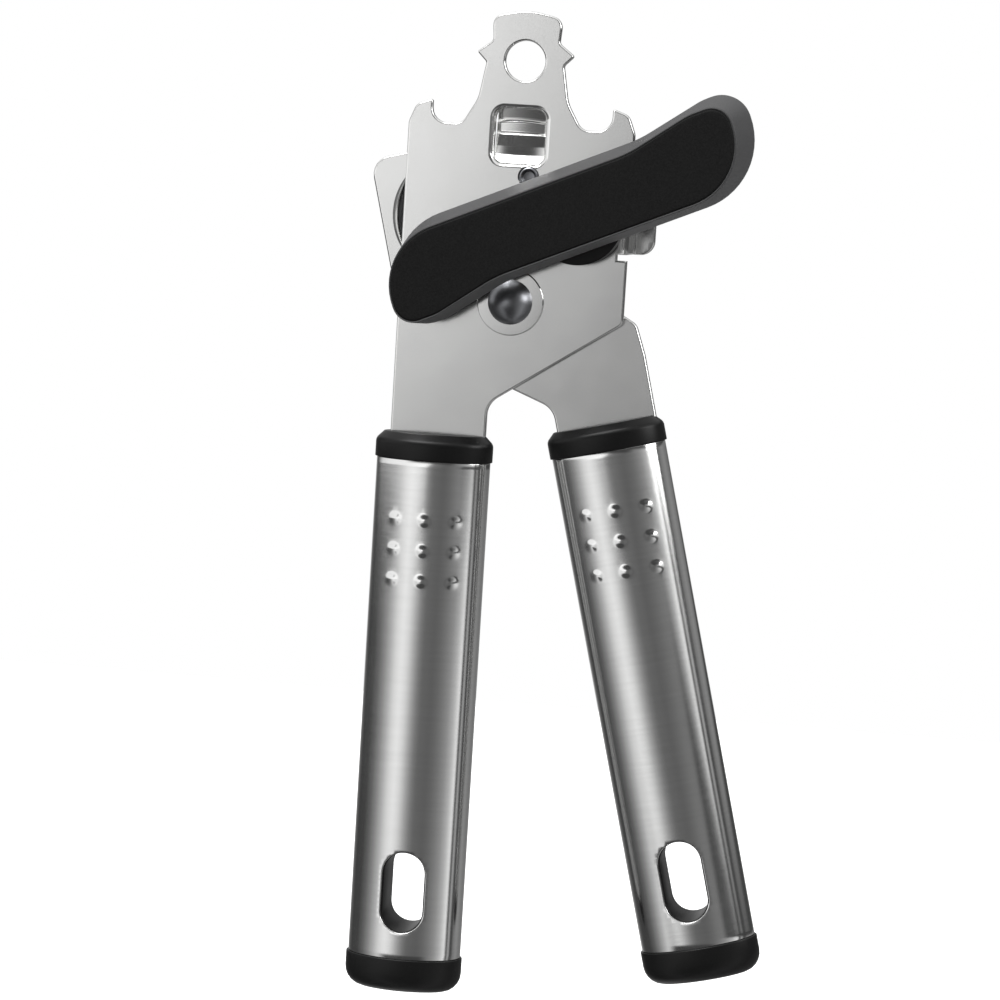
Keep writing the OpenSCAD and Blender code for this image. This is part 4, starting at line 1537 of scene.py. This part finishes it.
# Directions run from -180 (behind) through -90 (left) and 0 (front) to 180 (behind).
UPPER = [
    (-180, 0.3), (-166, 0.75), (-150, 0.4), (-125, 0.06), (-112, 0.3), (-96, 0.8), (-74, 1.0),
    (-40, 1.1), (-14, 1.35), (-10.5, 1.2), (-8.5, 0.74), (-7.2, 0.46), (-6, 0.33), (-2, 0.2),
    (12, 0.13), (20, 0.16), (28.5, 0.2), (35, 0.2), (41, 0.05), (150, 0.06), (180, 0.3),
]
LOWER = [
    (-180, 0.3), (-166, 0.75), (-150, 0.4), (-130, 0.12), (-112, 0.06), (-84, 0.06), (-68, 0.13),
    (-56, 0.27), (-45, 0.52), (-36, 0.86), (-28, 1.02), (-21, 0.85), (-13.5, 0.46), (-7, 0.24),
    (-1, 0.15), (12, 0.13), (20, 0.16), (28.5, 0.22), (39, 0.33), (51, 0.56), (60, 0.9), (63.5, 1.0),
    (66.5, 0.06), (70, 0.05), (73, 0.42), (77, 0.4), (80, 0.06), (87, 0.08), (94, 0.22), (110, 0.3),
    (140, 0.2), (180, 0.3),
]
print("panels:", len(UPPER), "and", len(LOWER), "stops")


# %% World's graph
class Sky(Finish):
    """The world's graph, with the same helpers as a finish."""

    def __init__(self, target):
        self.tree = target.node_tree
        self.shader = self.tree.nodes["Background"]


sky = Sky(world)
direction = sky.add("ShaderNodeTexCoord", output="Generated")
x_way = sky.add("ShaderNodeSeparateXYZ", {0: direction}, output="X")
y_way, z_way = (Value(sky, x_way.socket.node.outputs[axis]) for axis in "YZ")
heading = sky.add("ShaderNodeMath", {0: x_way, 1: y_way * -1.0}, operation="ARCTAN2")
share = heading * (1 / (2 * math.pi)) + 0.5
UPPER_SKEW = -1 / 12
DARK = (0.06, 0.06, 0.06)
ROOF = (0.95, 0.95, 0.95)
upper = sky.add("ShaderNodeValToRGB", {"Fac": share + z_way * UPPER_SKEW}, stops=ring_stops(UPPER))
lower = sky.add("ShaderNodeValToRGB", {"Fac": share}, stops=ring_stops(LOWER))
level_ring = sky.mix(z_way.clamped(-0.062, -0.082), upper, lower)
ring = sky.mix(z_way.clamped(0.05, 0.09) * heading.clamped(0.35, 0.5), level_ring, lower)
in_front = heading.clamped(-0.7, -0.5) - heading.clamped(0.3, 0.5)
at_right = heading.clamped(0.3, 0.5)
high = z_way.clamped(0.10, 0.15) * in_front + z_way.clamped(0.22, 0.28) * at_right
dark_above = sky.mix(high, ring, DARK)
dark_below = sky.mix(z_way.clamped(-0.27, -0.34) * in_front, dark_above, DARK)
roof = sky.mix(z_way.clamped(0.42, 0.6), dark_below, ROOF)
seen = sky.mix(sky.add("ShaderNodeLightPath", output="Is Camera Ray"), roof, (1, 1, 1))
sky.feed(sky.shader.inputs["Color"], seen)
print("world's graph has", len(sky.tree.nodes), "nodes")

# %% [markdown]
# ## Soft lights
# Two large square lamps shape the black plastic, which mirrors little of the ring.

# %% Soft lights

def soft_light(name, place_at, size, power):
    """Large square lamp that looks at the opener."""
    data = bpy.data.lights.new(name, "AREA")
    data.shape = "SQUARE"
    data.size = size
    data.energy = power
    lamp = bpy.data.objects.new(name, data)
    lamp.location = place_at
    lamp.rotation_mode = "QUATERNION"
    lamp.rotation_quaternion = (TARGET - Vector(place_at)).to_track_quat("-Z", "Y")
    bpy.context.scene.collection.objects.link(lamp)
    return lamp


soft_light("top_light", (-0.35, -0.5, 0.9), 0.6, 9)
soft_light("side_light", (0.9, -0.35, 0.35), 0.5, 4)
bpy.context.scene.view_settings.view_transform = "Standard"
print("studio ready")

# %% [markdown]
# ## Sizes
# The finished pieces have to stay in the frame's box. The sizes of both are printed.

# %% Sizes
LOOKS_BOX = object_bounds()
for name, (low, high) in (("frame", CAD_BOX), ("looks", LOOKS_BOX)):
    print(name, [round(c, 4) for c in high - low])
